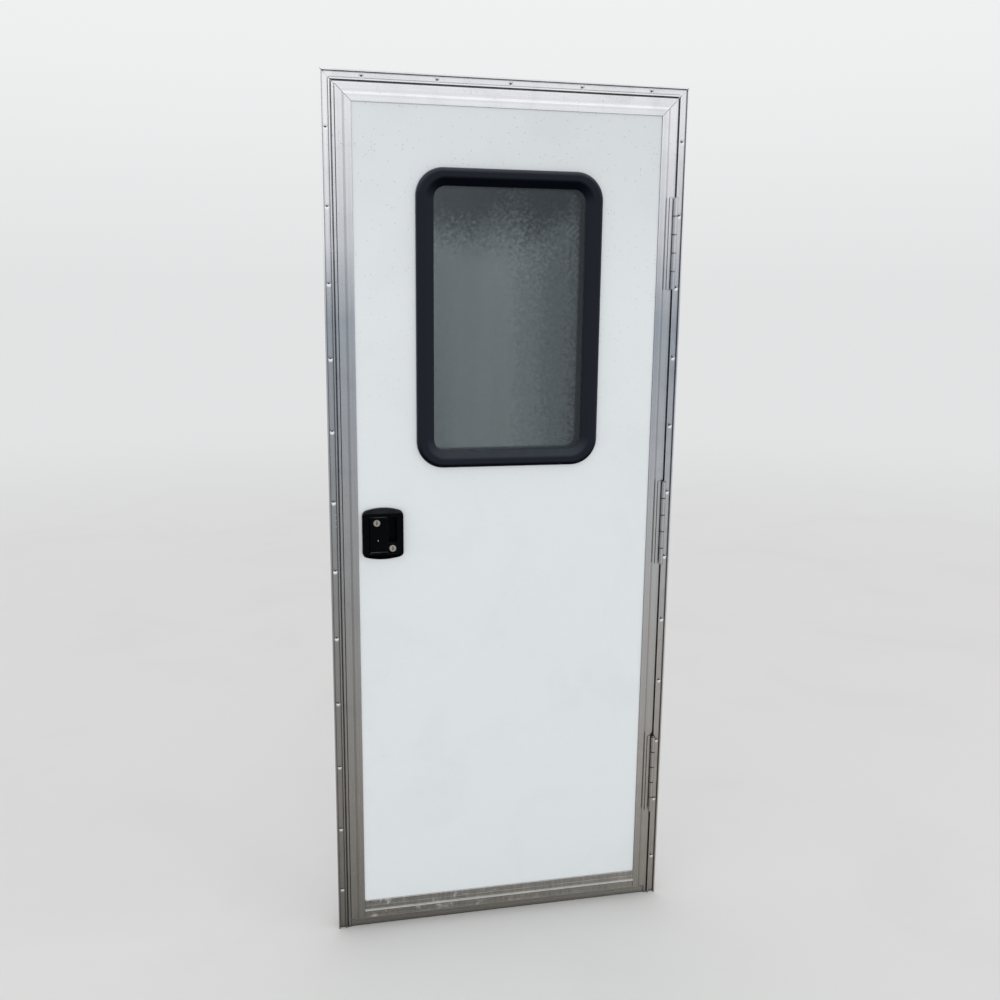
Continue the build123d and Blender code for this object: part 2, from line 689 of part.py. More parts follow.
def sub_parts():
    """All the solids of the door, by name."""
    parts = {
        "latch_jamb": latch_jamb(),
        "hinge_jamb": jamb(1),
        "head_jamb": head_jamb(),
        "sill": sill(),
        "latch_jamb_seal": jamb_seal(-1),
        "hinge_jamb_seal": jamb_seal(1),
        "head_seal": head_seal(),
        "strike_plate": strike_plate(),
        "door_latch_stile": latch_stile(),
        "door_hinge_stile": stile(1),
        "door_head_rail": head_rail(),
        "door_bottom_rail": bottom_rail(),
        "outer_skin": panel_sheet(SKIN_FRONT, CORE_FRONT),
        "foam_core": foam_core(),
        "inner_skin": panel_sheet(CORE_BACK, INNER_FACE),
        "window_outer_frame": window_outer_frame(),
        "window_glass": window_glass(),
        "window_inner_frame": window_inner_frame(),
        "lock_bezel": lock_bezel(),
        "lock_paddle": lock_paddle(),
        "paddle_pin": paddle_pin_bar(PADDLE_PIN_R),
        "paddle_key_plug": key_plug(PADDLE_PLUG_X, PADDLE_PLUG_Z),
        "deadbolt_key_plug": key_plug(BOLT_PLUG_X, BOLT_PLUG_Z),
        "lock_case": lock_case(),
        "latch_bolt": latch_bolt(),
        "deadbolt": deadbolt(),
        "lock_inner_plate": lock_inner_plate(),
        "inner_lever": inner_lever(),
        "deadbolt_knob": deadbolt_knob(),
    }
    for place, z in zip(("lower", "middle", "upper"), hinge_levels()):
        parts[f"{place}_hinge_frame_leaf"] = frame_leaf(z)
        parts[f"{place}_hinge_door_leaf"] = door_leaf(z)
        parts[f"{place}_hinge_pin"] = hinge_pin(z)
    return parts


os.makedirs("parts", exist_ok=True)
for name, shape in sub_parts().items():
    export_step(shape, f"parts/{name}.step")
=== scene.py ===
"""Looks of a caravan entry door: finishes for its pieces, the pane, the small fixings and the stage."""

import math

import bmesh
import bpy
from bpy.props import FloatProperty, FloatVectorProperty, IntProperty, PointerProperty
from mathutils import Matrix, Vector, noise


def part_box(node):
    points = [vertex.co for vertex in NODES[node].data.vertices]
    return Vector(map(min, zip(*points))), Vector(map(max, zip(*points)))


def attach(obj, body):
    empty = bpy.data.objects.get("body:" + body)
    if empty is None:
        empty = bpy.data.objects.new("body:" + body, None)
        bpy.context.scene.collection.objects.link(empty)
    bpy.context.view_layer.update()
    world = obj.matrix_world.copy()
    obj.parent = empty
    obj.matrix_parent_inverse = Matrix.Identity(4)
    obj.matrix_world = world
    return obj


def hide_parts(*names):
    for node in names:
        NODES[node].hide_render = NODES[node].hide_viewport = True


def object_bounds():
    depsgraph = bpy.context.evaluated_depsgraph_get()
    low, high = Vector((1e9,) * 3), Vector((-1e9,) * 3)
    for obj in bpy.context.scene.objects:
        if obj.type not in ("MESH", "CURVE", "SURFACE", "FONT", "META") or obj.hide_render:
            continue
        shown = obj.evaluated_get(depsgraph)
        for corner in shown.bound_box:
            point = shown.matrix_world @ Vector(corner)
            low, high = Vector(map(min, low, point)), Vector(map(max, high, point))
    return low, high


bl_info = {
    "name": "Caravan entry door",
    "version": (1, 0, 0),
    "blender": (4, 5, 0),
    "location": "View3D > Sidebar > Entry door",
    "description": "Finishes, pane, fixings and stage of a caravan entry door",
    "category": "Object",
}

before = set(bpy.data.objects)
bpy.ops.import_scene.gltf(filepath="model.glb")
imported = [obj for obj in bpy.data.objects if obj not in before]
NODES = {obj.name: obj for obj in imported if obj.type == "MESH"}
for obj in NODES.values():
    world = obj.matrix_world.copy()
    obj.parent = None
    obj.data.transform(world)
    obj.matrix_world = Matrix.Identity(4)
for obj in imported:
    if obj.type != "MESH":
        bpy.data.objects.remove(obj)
CAD_LOW, CAD_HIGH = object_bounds()

OUTWARD = Vector((0, -1, 0))
INWARD = Vector((0, 1, 0))
HINGES = ("lower", "middle", "upper")
UPRIGHT_BARS = ("latch_jamb", "hinge_jamb", "door_latch_stile", "door_hinge_stile")
LEVEL_BARS = ("head_jamb", "sill", "door_head_rail")
SEALS = ("latch_jamb_seal", "hinge_jamb_seal", "head_seal")
ROUND_STEPS = 20
DOME_STEPS = 4
ARC_STEPS = 8
FLOOR_SIDES = 96
SENSOR_MM = 36.0
NOISE_SLICE = 0.37
KNUCKLES = 5
ORIGIN = (0.0, 0.0, 0.0)
FOAM_PALE = (0.72, 0.70, 0.58)
FOAM_DARK = (0.60, 0.57, 0.45)

# Lengths in metres.
PLATE_SCREW_INSET = 0.0085
STRIKE_INSET = 0.009
RIVET_FROM_EDGE = 0.0138
RIVET_RISES = (0.016, 0.030, 0.041)
PLUG_PROUD = 0.001
PIN_ASIDE = 0.0024
PIN_DROP = 0.0118
BARREL_R = 0.005
BARREL_FADE = 0.0008
JOINT_HALF = 0.0008
JOINT_FADE = 0.0016
LIP_HALF = 0.0007
LIP_FADE = 0.0012
OUTER_LIP = 0.0015
OUTER_LIP_FADE = 0.0035
JAMB_FADE = 0.008
# Painted highlights under the flange's screw holes.
GLINT_DROP = 0.0030
GLINT_R = 0.0062
SPLASH_START = 0.14
SPLASH_FULL = -0.16
TONE_WAVER = 0.04
# Reach of the thin soiling and painted shade in gaps.
THIN_DIRT_AND_SHADE = 0.003
# Radius over which convex metal edges get a painted highlight.
EDGE_HIGHLIGHT_RADIUS = 0.0011
SCRATCH_DEPTH = 0.00002
FOAM_DEPTH = 0.0003
RIPPLE_DEPTH = 0.00012
FLOOR_RADIUS = 30.0

# Shares of a size, a height or a value.
HOLE_FADE = 1.4
PANE_MARGIN = 0.02
HAZE_LEVEL = 0.2
# Painted reflection of the mouldings: their gloss where they face down and where they face up.
SHINE_BELOW = 0.05
SHINE_ABOVE = 2.2
BROAD_SHARE = 0.33
FINE_SHARE = 0.17

# How fine a noise is, for each axis or for all.
SCRATCH_STRETCH = (1600.0, 500.0, 160.0)
DRIP_STRETCH = (160.0, 160.0, 14.0)
STREAK_STRETCH = (11.0, 11.0, 0.8)
BROAD_SCALE = 0.55
FINE_SCALE = 1.2


def middle_of(node):
    """The middle of a node's box at rest."""
    low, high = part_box(node)
    return (low + high) / 2


def colour(name, description, default):
    """A colour that a user may change."""
    return FloatVectorProperty(
        name=name, description=description, subtype="COLOR", size=3, min=0, max=1, default=default
    )


def length(name, description, default):
    """A length in metres that a user may change."""
    return FloatProperty(
        name=name, description=description, unit="LENGTH", precision=5, min=0, default=default
    )


def share(name, description, default):
    """A share from 0 to 1 that a user may change."""
    return FloatProperty(
        name=name, description=description, subtype="FACTOR", min=0, max=1, default=default
    )


def how_many(name, description, default):
    """A number of like things that a user may change."""
    return IntProperty(name=name, description=description, min=1, max=60, default=default)


def degrees(name, description, default):
    """An angle that a user may change, given in degrees."""
    return FloatProperty(
        name=name, description=description, subtype="ANGLE", default=math.radians(default)
    )


def position(name, description, default):
    """A point in metres that a user may change."""
    return FloatVectorProperty(
        name=name, description=description, subtype="TRANSLATION", unit="LENGTH", default=default
    )


class AluminiumFinish(bpy.types.PropertyGroup):
    """Mill finish of the jambs, stiles, rails and hinges, with painted reflection that makes it darker
    towards the sill, partly from soiling, and lighter towards the head
    """

    # Tones by height: painted reflection of dark ground low and bright sky high, with some soiling towards
    # the sill.
    tone_sill: colour("Tone at the sill", "Metal colour at the foot of the door", (0.235, 0.222, 0.20))
    tone_lower: colour("Tone at the lower hinge", "Metal colour at knee height", (0.30, 0.282, 0.26))
    tone_lock: colour("Tone at the lock", "Metal colour at lock height", (0.352, 0.357, 0.366))
    tone_window: colour("Tone at the window", "Metal colour at mid window", (0.41, 0.445, 0.497))
    tone_upper: colour("Tone at the upper hinge", "Metal colour at the upper hinge", (0.685, 0.70, 0.735))
    tone_head: colour("Tone at the head", "Metal colour along the head", (0.93, 0.94, 0.965))
    # Painted highlight on faces turned up, where the metal would show the sky.
    highlight_tone: colour("Rinsed ledges", "Metal colour on ledges that rain rinses", (0.98, 0.98, 0.98))
    upward_highlight: share("Rinse", "How much the rinsed colour shows on ledges", 0.75)
    # Painted shade on faces turned to a side.
    side_face_shade: share("Side tone", "Tone of faces turned to a side, against those turned outwards", 0.72)
    # Painted light: the metal is lighter low on the hinge side.
    hinge_side_light: share("Hinge side lift", "How much lighter the metal gets low on the hinge side", 0.42)
    # Painted light and shade on the latch jamb: lighter at the upper hinge, darker at mid window.
    jamb_upper_light: share("Latch jamb lift", "How much lighter the latch jamb is at the upper hinge", 0.10)
    jamb_mid_shade: share("Latch jamb drop", "How much darker the latch jamb is at mid window", 0.14)
    # Painted highlight along the frame's outer lip.
    outer_lip_highlight: share("Outer lip", "How much lighter the frame's outer lip is", 0.3)
    # Colour of soiling and painted shade in slots and corners, and of the hinges' dark joints.
    dirt_and_shade: colour("Dirt", "Colour of the dirt in slots and corners", (0.010, 0.010, 0.012))
    dirt_and_shade_reach: length("Dirt reach", "How far dirt builds out from a corner", 0.0048)
    speck: colour("Specks", "Colour of the pits and dirt specks", (0.10, 0.10, 0.11))
    scuff: colour("Scuffs", "Colour of the dried splashes on the bottom rail", (0.72, 0.70, 0.66))
    lip_rise: length("Lip rise", "From the leaf's foot to the bright lip of the bottom rail", 0.0205)
    line_width: length("Line width", "Width of the die lines left by drawing", 0.0007)
    line_length: length("Line length", "Length over which a die line fades", 0.40)
    line_depth: length("Line depth", "Depth of the die lines", 0.000008)
    roughness: share("Roughness", "Roughness of clean metal", 0.24)


class SkinFinish(bpy.types.PropertyGroup):
    """Gelcoat white of the leaf's two skins"""

    white: colour("White", "Colour of the skins", (0.70, 0.735, 0.75))
    speck: colour("Specks", "Colour of the dust specks", (0.27, 0.285, 0.295))
    # Painted shade over the panel's upper part, deepest in its corner on the hinge side.
    smudge_and_shade: share("Film", "How much the panel's top corner on the hinge side has dulled", 0.16)
    smudge: share("Smudges", "How much the smudges dull the panel", 0.06)
    # Soiling and painted shade along the panel's edge.
    dirt_and_shade: colour("Dirt", "Colour of the dirt along the panel's edge", (0.10, 0.10, 0.105))
    peel_size: length("Peel size", "Width of the orange peel ripples", 0.004)
    peel_depth: length("Peel depth", "Depth of the orange peel ripples", 0.00006)
    roughness: share("Roughness", "Roughness of the gelcoat", 0.33)


class PlasticFinish(bpy.types.PropertyGroup):
    """Black mouldings of the window rings and the lock, and the rubber of the seals"""

    ring: colour("Ring", "Colour of the window rings", (0.0014, 0.0020, 0.0042))
    lock: colour("Lock", "Colour of the lock mouldings", (0.0008, 0.0008, 0.001))
    sheen: colour("Sheen", "Tint of the mouldings' reflections", (0.72, 0.82, 1.0))
    worn: colour("Worn edge", "Colour of rubbed edges", (0.05, 0.052, 0.056))
    rubber: colour("Rubber", "Colour of the seals", (0.012, 0.012, 0.012))
    # Dust, and a painted sheen where the mouldings face up.
    dust_and_sheen: colour("Dust", "Colour of settled dust", (0.17, 0.175, 0.19))
    grain_size: length("Grain size", "Size of the moulded grain", 0.0006)
    grain_depth: length("Grain depth", "Depth of the moulded grain", 0.00003)
    ring_roughness: share("Ring roughness", "Roughness of the window rings", 0.36)
    lock_roughness: share("Lock roughness", "Roughness of the lock mouldings", 0.30)


class PaneFinish(bpy.types.PropertyGroup):
    """Obscure pane with a hammered outer face and painted shade"""

    tint: colour("Tint", "Colour of the glass", (0.150, 0.176, 0.182))
    # The shade colour and the settings from Top band to Streaks paint shade into the pane.
    shade: colour("Shade", "Colour of the glass where it looks dim", (0.012, 0.017, 0.021))
    sheen: colour("Sheen", "Tint of the glass's reflections", (0.82, 0.93, 1.0))
    top_band: share("Top band", "Share of the pane's height that dims towards the top", 0.32)
    top_shade: share("Top shade", "How dim the pane's top is", 0.97)
    side_band: share("Side band", "Share of the pane's width that dims towards the hinges", 0.44)
    side_shade: share("Side shade", "How dim the pane's side towards the hinges is", 0.74)
    edge_band: share("Edge band", "Share of the pane's width that dims towards the latch", 0.28)
    edge_shade: share("Edge shade", "How dim the pane's side towards the latch is", 0.20)
    stripe_place: share("Stripe place", "Where the dim stripe is, as a share of the pane's width", 0.57)
    stripe_width: share("Stripe width", "Half the stripe's width, as a share of the pane's", 0.06)
    stripe_shade: share("Stripe shade", "How dim the stripe is", 0.09)
    crinkle: share("Crinkle", "How far the dimples dim and clear the pane's top", 0.17)
    streak_shade: share("Streaks", "How dim the soft upright streaks are", 0.25)
    sway: length("Sway", "How far the dimples throw what shows in the pane", 0.13)
    cell: length("Dimple size", "Size of the hammered dimples", 0.0052)
    depth: length("Dimple depth", "Depth of the hammered dimples", 0.00025)
    step: length("Grid step", "Spacing of the pane's grid", 0.0023)
    corner: length("Corner radius", "Radius of the pane's corners", 0.031)
    roughness: share("Roughness", "Roughness of the hammered face", 0.14)


class HardwareFinish(bpy.types.PropertyGroup):
    """Nickel of the key plugs, the small fixings and the flange's holes"""

    nickel: colour("Nickel", "Colour of the key plugs", (0.37, 0.35, 0.30))
    roughness: share("Roughness", "Roughness of the key plugs", 0.28)
    screw_radius: length("Screw radius", "Radius of the screws' heads", 0.0036)
    screw_height: length("Screw height", "Height of the screws' heads", 0.0016)
    rivet_radius: length("Rivet radius", "Radius of the small rivets", 0.0018)
    rivet_height: length("Rivet height", "Height of the small rivets", 0.0009)
    pin_radius: length("Pin radius", "Radius of the small pin in the paddle", 0.0012)
    pin_height: length("Pin height", "Height of the small pin in the paddle", 0.0005)
    # Dark discs in the flange's holes that paint the shade behind them.
    hole_shade_radius: length("Sealant radius", "Radius of the old sealant in the flange's holes", 0.0023)
    hole_shade_height: length("Sealant height", "Height of the old sealant in the flange's holes", 0.0004)
    flange: length("Flange", "Thickness of the flange", 0.002)
    hole_inset: length("Hole inset", "From the frame's edge to its screw holes", 0.0095)
    hole_pitch: length("Hole pitch", "Distance between screw holes", 0.150)
    top_hole_drop: length("Top hole drop", "From the frame's top to the jambs' first hole", 0.107)
    jamb_holes: how_many("Jamb holes", "Screw holes in each jamb", 12)
    head_holes: how_many("Head holes", "Screw holes in the head", 5)
    trim_screws: how_many("Trim screws", "Screws round the inside window trim", 14)


class StageSetup(bpy.types.PropertyGroup):
    """Floor, backdrop light, lamp and camera"""

    floor: colour("Floor", "Colour of the floor", (0.72, 0.72, 0.715))
    horizon: colour("Horizon", "Backdrop at eye level", (0.76, 0.765, 0.77))
    haze: colour("Haze", "Backdrop a little above eye level", (0.86, 0.865, 0.87))
    zenith: colour("Zenith", "Backdrop overhead", (1.0, 1.0, 1.0))
    key_power: FloatProperty(
        name="Key lamp", description="Power of the front lamp", unit="POWER", min=0, default=205
    )
    lamp_place: position("Lamp place", "Where the front lamp hangs", (-0.8, -9.5, 2.3))
    lamp_size: length("Lamp size", "Side of the square front lamp", 4.0)
    fade_start: length("Fade start", "Where the floor starts to fade into the backdrop", 3.0)
    fade_end: length("Fade end", "Where the floor has faded into the backdrop", 9.0)
    camera_place: position("Camera place", "Where the camera stands", (-0.4811, -2.1378, 1.4252))
    camera_heading: degrees("Heading", "Turn of the camera to the right", 12.344)
    camera_dip: degrees("Dip", "How far the camera looks down", 11.51)
    camera_roll: degrees("Roll", "Roll of the camera", 0.594)
    camera_lens: FloatProperty(
        name="Lens", description="Focal length on a 36 mm sensor, in millimetres", min=1, default=36.9
    )


SETTINGS = {
    "door_aluminium": AluminiumFinish,
    "door_skin": SkinFinish,
    "door_plastic": PlasticFinish,
    "door_pane": PaneFinish,
    "door_hardware": HardwareFinish,
    "door_stage": StageSetup,
}


def add_node(tree, kind, settings=None, **inputs):
    """Adds a node with its settings and inputs."""
    node = tree.nodes.new(kind)
    for name, value in (settings or {}).items():
        setattr(node, name, value)
    feed(tree, node, **inputs)
    return node


def feed(tree, node, **inputs):
    """Links or sets a node's inputs, named with _ for each space."""
    for name, value in inputs.items():
        plug(tree, node.inputs[name.replace("_", " ")], value)


def plug(tree, socket, value):
    """Links an input to a socket, or sets its own value."""
    if isinstance(value, bpy.types.NodeSocket):
        tree.links.new(value, socket)
    else:
        socket.default_value = value


def calculate(tree, operation, first, second=0.5, third=0.5, clamp=False):
    """A Math node's result."""
    node = tree.nodes.new("ShaderNodeMath")
    node.operation, node.use_clamp = operation, clamp
    for socket, value in zip(node.inputs, (first, second, third)):
        plug(tree, socket, value)
    return node.outputs[0]


def times(tree, first, second):
    """The product of two values."""
    return calculate(tree, "MULTIPLY", first, second)


def plus(tree, first, second, clamp=False):
    """The sum of two values."""
    return calculate(tree, "ADD", first, second, clamp=clamp)


def minus(tree, first, second):
    """The difference of two values."""
    return calculate(tree, "SUBTRACT", first, second)


def absolute(tree, value):
    """A value without its sign."""
    return calculate(tree, "ABSOLUTE", value)


def hypotenuse(tree, first, second):
    """The distance that two sides at right angles span."""
    return calculate(tree, "SQRT", plus(tree, times(tree, first, first), times(tree, second, second)))


def vector_math(tree, operation, first, second):
    """A Vector Math node."""
    node = tree.nodes.new("ShaderNodeVectorMath")
    node.operation = operation
    plug(tree, node.inputs[0], first)
    plug(tree, node.inputs[1], second)
    return node


def noise_texture(tree, **inputs):
    """The outputs of a noise texture."""
    return add_node(tree, "ShaderNodeTexNoise", **inputs).outputs


def axes(tree, vector):
    """The X, Y and Z of a vector."""
    return add_node(tree, "ShaderNodeSeparateXYZ", Vector=vector).outputs


def facing_axes(tree):
    """The X, Y and Z of the surface's normal, which turn with the piece."""
    return axes(tree, tree.nodes.new("ShaderNodeTexCoord").outputs["Normal"])


def mixed(tree, factor, first, second, blend="MIX"):
    """The colour of a Mix node."""
    node = tree.nodes.new("ShaderNodeMix")
    node.data_type, node.blend_type = "RGBA", blend
    plug(tree, node.inputs["Factor"], factor)
    for socket, value in ((node.inputs[6], first), (node.inputs[7], second)):
        plug(tree, socket, value if isinstance(value, bpy.types.NodeSocket) else (*value, 1))
    return node.outputs[2]


def scaled(tree, tone, value):
    """A colour made lighter or darker by one value."""
    grey = tree.nodes.new("ShaderNodeCombineColor")
    for socket in grey.inputs:
        tree.links.new(value, socket)
    return mixed(tree, 1.0, tone, grey.outputs[0], "MULTIPLY")


def ranged(tree, value, low, high, start=0.0, end=1.0, smooth=True):
    """A value carried from one range to another."""
    node = tree.nodes.new("ShaderNodeMapRange")
    node.interpolation_type = "SMOOTHSTEP" if smooth else "LINEAR"
    feed(tree, node, Value=value, From_Min=low, From_Max=high, To_Min=start, To_Max=end)
    return node.outputs["Result"]


def effect(name, outputs, **inputs):
    """A new shader node group with its named sockets, and its input and output nodes."""
    group = bpy.data.node_groups.new(name, "ShaderNodeTree")
    for title, default in inputs.items():
        kind = "NodeSocketVector" if isinstance(default, tuple) else "NodeSocketFloat"
        socket = group.interface.new_socket(name=title.replace("_", " "), in_out="INPUT", socket_type=kind)
        socket.default_value = default
    for title in outputs:
        kind = f"NodeSocket{title}" if title in ("Color", "Vector") else "NodeSocketFloat"
        group.interface.new_socket(name=title, in_out="OUTPUT", socket_type=kind)
    return group, group.nodes.new("NodeGroupInput").outputs, group.nodes.new("NodeGroupOutput").inputs


def placed(tree, maker, **inputs):
    """The outputs of an effect group, which is made the first time it is placed."""
    name = maker.__name__
    group = bpy.data.node_groups.get(name) or maker(name)
    return add_node(tree, "ShaderNodeGroup", {"node_tree": group}, **inputs).outputs


def drawn_lines(name):
    """Die lines along a drawn bar: fine lines, and broad streaks of tone."""
    group, given, result = effect(name, ("Lines", "Streaks"), Vector=ORIGIN, Stretch=(900.0, 900.0, 2.5))
    pulled = vector_math(group, "MULTIPLY", given["Vector"], given["Stretch"]).outputs[0]
    fine = noise_texture(group, Vector=pulled, Scale=1.0, Detail=3.0, Roughness=0.65)
    wide = noise_texture(group, Vector=pulled, Scale=0.16, Detail=2.0, Roughness=0.5)
    group.links.new(ranged(group, fine["Fac"], 0.25, 0.75), result["Lines"])
    group.links.new(ranged(group, wide["Fac"], 0.3, 0.7), result["Streaks"])
    return group


def specks(name):
    """Scattered specks of uneven size. Share says how many cells hold one."""
    group, given, result = effect(name, ("Mask",), Vector=ORIGIN, Scale=90.0, Size=0.12, Share=0.3)
    cells = add_node(group, "ShaderNodeTexVoronoi", Vector=given["Vector"], Scale=given["Scale"])
    parts = add_node(group, "ShaderNodeSeparateColor", Color=cells.outputs["Color"])
    held = calculate(group, "LESS_THAN", parts.outputs[0], given["Share"])
    reach = times(group, given["Size"], ranged(group, parts.outputs[1], 0, 1, 0.3, 1))
    inner = times(group, reach, 0.5)
    spot = ranged(group, cells.outputs["Distance"], inner, reach, 1.0, 0.0)
    group.links.new(times(group, spot, held), result["Mask"])
    return group


def smudges(name):
    """Soft cloudy patches, as handling and weather leave them."""
    group, given, result = effect(name, ("Mask",), Vector=ORIGIN, Scale=12.0, Start=0.45, End=0.75)
    cloud = noise_texture(
        group, Vector=given["Vector"], Scale=given["Scale"], Detail=5.0, Roughness=0.6, Distortion=0.6
    )
    group.links.new(ranged(group, cloud["Fac"], given["Start"], given["End"]), result["Mask"])
    return group


def edge_wear_and_highlight(name):
    """Edges where the surface turns within the given radius, broken up by noise: worn on the mouldings, a
    painted highlight on the aluminium.
    """
    group, given, result = effect(name, ("Mask",), Vector=ORIGIN, Radius=0.0008, Break_Scale=260.0)
    rounded = add_node(group, "ShaderNodeBevel", {"samples": 4}, Radius=given["Radius"])
    surface = group.nodes.new("ShaderNodeNewGeometry")
    turn = vector_math(group, "DOT_PRODUCT", rounded.outputs[0], surface.outputs["Normal"])
    edge = ranged(group, turn.outputs["Value"], 0.86, 0.995, 1.0, 0.0)
    patchy = noise_texture(group, Vector=given["Vector"], Scale=given["Break Scale"])
    broken = ranged(group, patchy["Fac"], 0.35, 0.65)
    group.links.new(times(group, edge, broken), result["Mask"])
    return group


def crevice_dirt_and_shade(name):
    """Dirt with painted shade in slots, gaps and inner corners, within a reach of the surface that shuts
    them in.
    """
    group, given, result = effect(name, ("Mask",), Reach=0.005, Start=0.72, End=0.32)
    openness = add_node(group, "ShaderNodeAmbientOcclusion", {"samples": 8}, Distance=given["Reach"])
    group.links.new(ranged(group, openness.outputs["AO"], given["Start"], given["End"]), result["Mask"])
    return group


def settled_dust_and_sheen(name):
    """Dust on what faces up, thinner in cloudy patches, which on the mouldings also stands for a painted
    sheen.
    """
    group, given, result = effect(name, ("Mask",), Vector=ORIGIN, Scale=45.0)
    surface = group.nodes.new("ShaderNodeNewGeometry")
    facing = axes(group, surface.outputs["Normal"])
    upward = ranged(group, facing["Z"], 0.2, 0.8)
    cloud = noise_texture(group, Vector=given["Vector"], Scale=given["Scale"], Detail=6.0)
    thin = ranged(group, cloud["Fac"], 0.3, 0.7, 0.25, 1.0)
    group.links.new(times(group, upward, thin), result["Mask"])
    return group


def moulded_grain(name):
    """Fine even grain of a moulding, as a height."""
    group, given, result = effect(name, ("Height",), Vector=ORIGIN, Size=0.0006)
    fineness = calculate(group, "DIVIDE", 1.0, given["Size"])
    grain = noise_texture(group, Vector=given["Vector"], Scale=fineness, Detail=2.0)
    group.links.new(grain["Fac"], result["Height"])
    return group


def hammered_view(name):
    """Coordinates thrown about as hammered glass throws what shows in it, and the lumps that throw them."""
    group, given, result = effect(name, ("Vector", "Lumps"), Vector=ORIGIN, Cell=0.005, Sway=0.02)
    fineness = calculate(group, "DIVIDE", 0.75, given["Cell"])
    lumps = noise_texture(group, Vector=given["Vector"], Scale=fineness, Detail=3.0)
    swing = vector_math(group, "SUBTRACT", lumps["Color"], (0.5, 0.5, 0.5)).outputs[0]
    scale = {"operation": "SCALE"}
    reach = add_node(group, "ShaderNodeVectorMath", scale, Vector=swing, Scale=given["Sway"])
    thrown = vector_math(group, "ADD", given["Vector"], reach.outputs[0]).outputs[0]
    group.links.new(thrown, result["Vector"])
    group.links.new(lumps["Fac"], result["Lumps"])
    return group


def height_tone(name):
    """The metal's tone by height, mostly painted reflection with some soiling towards the sill, with
    painted shade on faces turned sideways, painted light low on the hinge side, painted light and shade on
    the latch jamb, and painted highlights along the outer lip and on faces turned up.
    """
    finish = bpy.context.scene.door_aluminium
    window, lock = middle_of("window_glass").z, middle_of("lock_bezel").z
    upper_hinge = middle_of("upper_hinge_pin").z
    leaf_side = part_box("door_latch_stile")[0].x
    group, given, result = effect(name, ("Color",), Vector=ORIGIN)
    parts = axes(group, given["Vector"])
    waver = noise_texture(group, Vector=given["Vector"], Scale=9.0, Detail=3.0)
    sway = ranged(group, waver["Fac"], 0.0, 1.0, -TONE_WAVER, TONE_WAVER, smooth=False)
    height = plus(group, parts["Z"], sway)
    level = ranged(group, height, CAD_LOW.z, CAD_HIGH.z, smooth=False)
    ramp = add_node(group, "ShaderNodeValToRGB", Fac=level)
    # Painted reflection by height: darker towards the sill, with some soiling, and lighter towards the
    # head.
    stops = (
        (middle_of("door_bottom_rail").z, finish.tone_sill),
        (middle_of("lower_hinge_pin").z, finish.tone_lower),
        (lock, finish.tone_lock),
        (window, finish.tone_window),
        (upper_hinge, finish.tone_upper),
        (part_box("outer_skin")[1].z, finish.tone_head),
    )
    while len(ramp.color_ramp.elements) < len(stops):
        ramp.color_ramp.elements.new(1.0)
    for element, (z, tone) in zip(ramp.color_ramp.elements, stops):
        element.position = (z - CAD_LOW.z) / (CAD_HIGH.z - CAD_LOW.z)
        element.color = (*tone, 1)
    facing = facing_axes(group)
    # Painted highlight on faces turned up.
    upward = ranged(group, facing["Z"], 0.1, 0.55, 0.0, finish.upward_highlight)
    # Painted shade on faces turned to a side.
    sideways_shade = ranged(group, absolute(group, facing["X"]), 0.2, 0.45, 1.0, finish.side_face_shade)
    # Painted light low on the hinge side, multiplied with the painted side shade.
    across = ranged(group, parts["X"], CAD_LOW.x, CAD_HIGH.x, 0.0, finish.hinge_side_light, smooth=False)
    below = ranged(group, parts["Z"], window, lock)
    painted_light = times(group, calculate(group, "MULTIPLY_ADD", across, below, 1.0), sideways_shade)
    # Painted light and shade on the latch jamb.
    jamb = ranged(group, parts["X"], leaf_side, leaf_side - JAMB_FADE)
    by_height = ranged(group, parts["Z"], upper_hinge, window, finish.jamb_upper_light, -finish.jamb_mid_shade)
    painted_light = times(group, painted_light, calculate(group, "MULTIPLY_ADD", jamb, by_height, 1.0))
    # Painted highlight along the frame's outer lip.
    lip_start, lip_full = CAD_HIGH.x - OUTER_LIP_FADE, CAD_HIGH.x - OUTER_LIP
    lip = ranged(group, absolute(group, parts["X"]), lip_start, lip_full, 1.0, 1.0 + finish.outer_lip_highlight)
    toned = scaled(group, ramp.outputs["Color"], times(group, painted_light, lip))
    group.links.new(mixed(group, upward, toned, finish.highlight_tone), result["Color"])
    return group


def fresh_material(name):
    """A new material with a Principled shader. Returns it, its tree, the shader and object coordinates."""
    material = bpy.data.materials.new(name)
    material.use_nodes = True
    tree = material.node_tree
    tree.nodes.clear()
    output = tree.nodes.new("ShaderNodeOutputMaterial")
    shader = tree.nodes.new("ShaderNodeBsdfPrincipled")
    tree.links.new(shader.outputs["BSDF"], output.inputs["Surface"])
    place = tree.nodes.new("ShaderNodeTexCoord").outputs["Object"]
    return material, tree, shader, place


def bumped(tree, shader, height, depth):
    """Feeds a height to the shader's normal."""
    bump = add_node(tree, "ShaderNodeBump", Height=height, Distance=depth, Strength=1.0)
    tree.links.new(bump.outputs["Normal"], shader.inputs["Normal"])


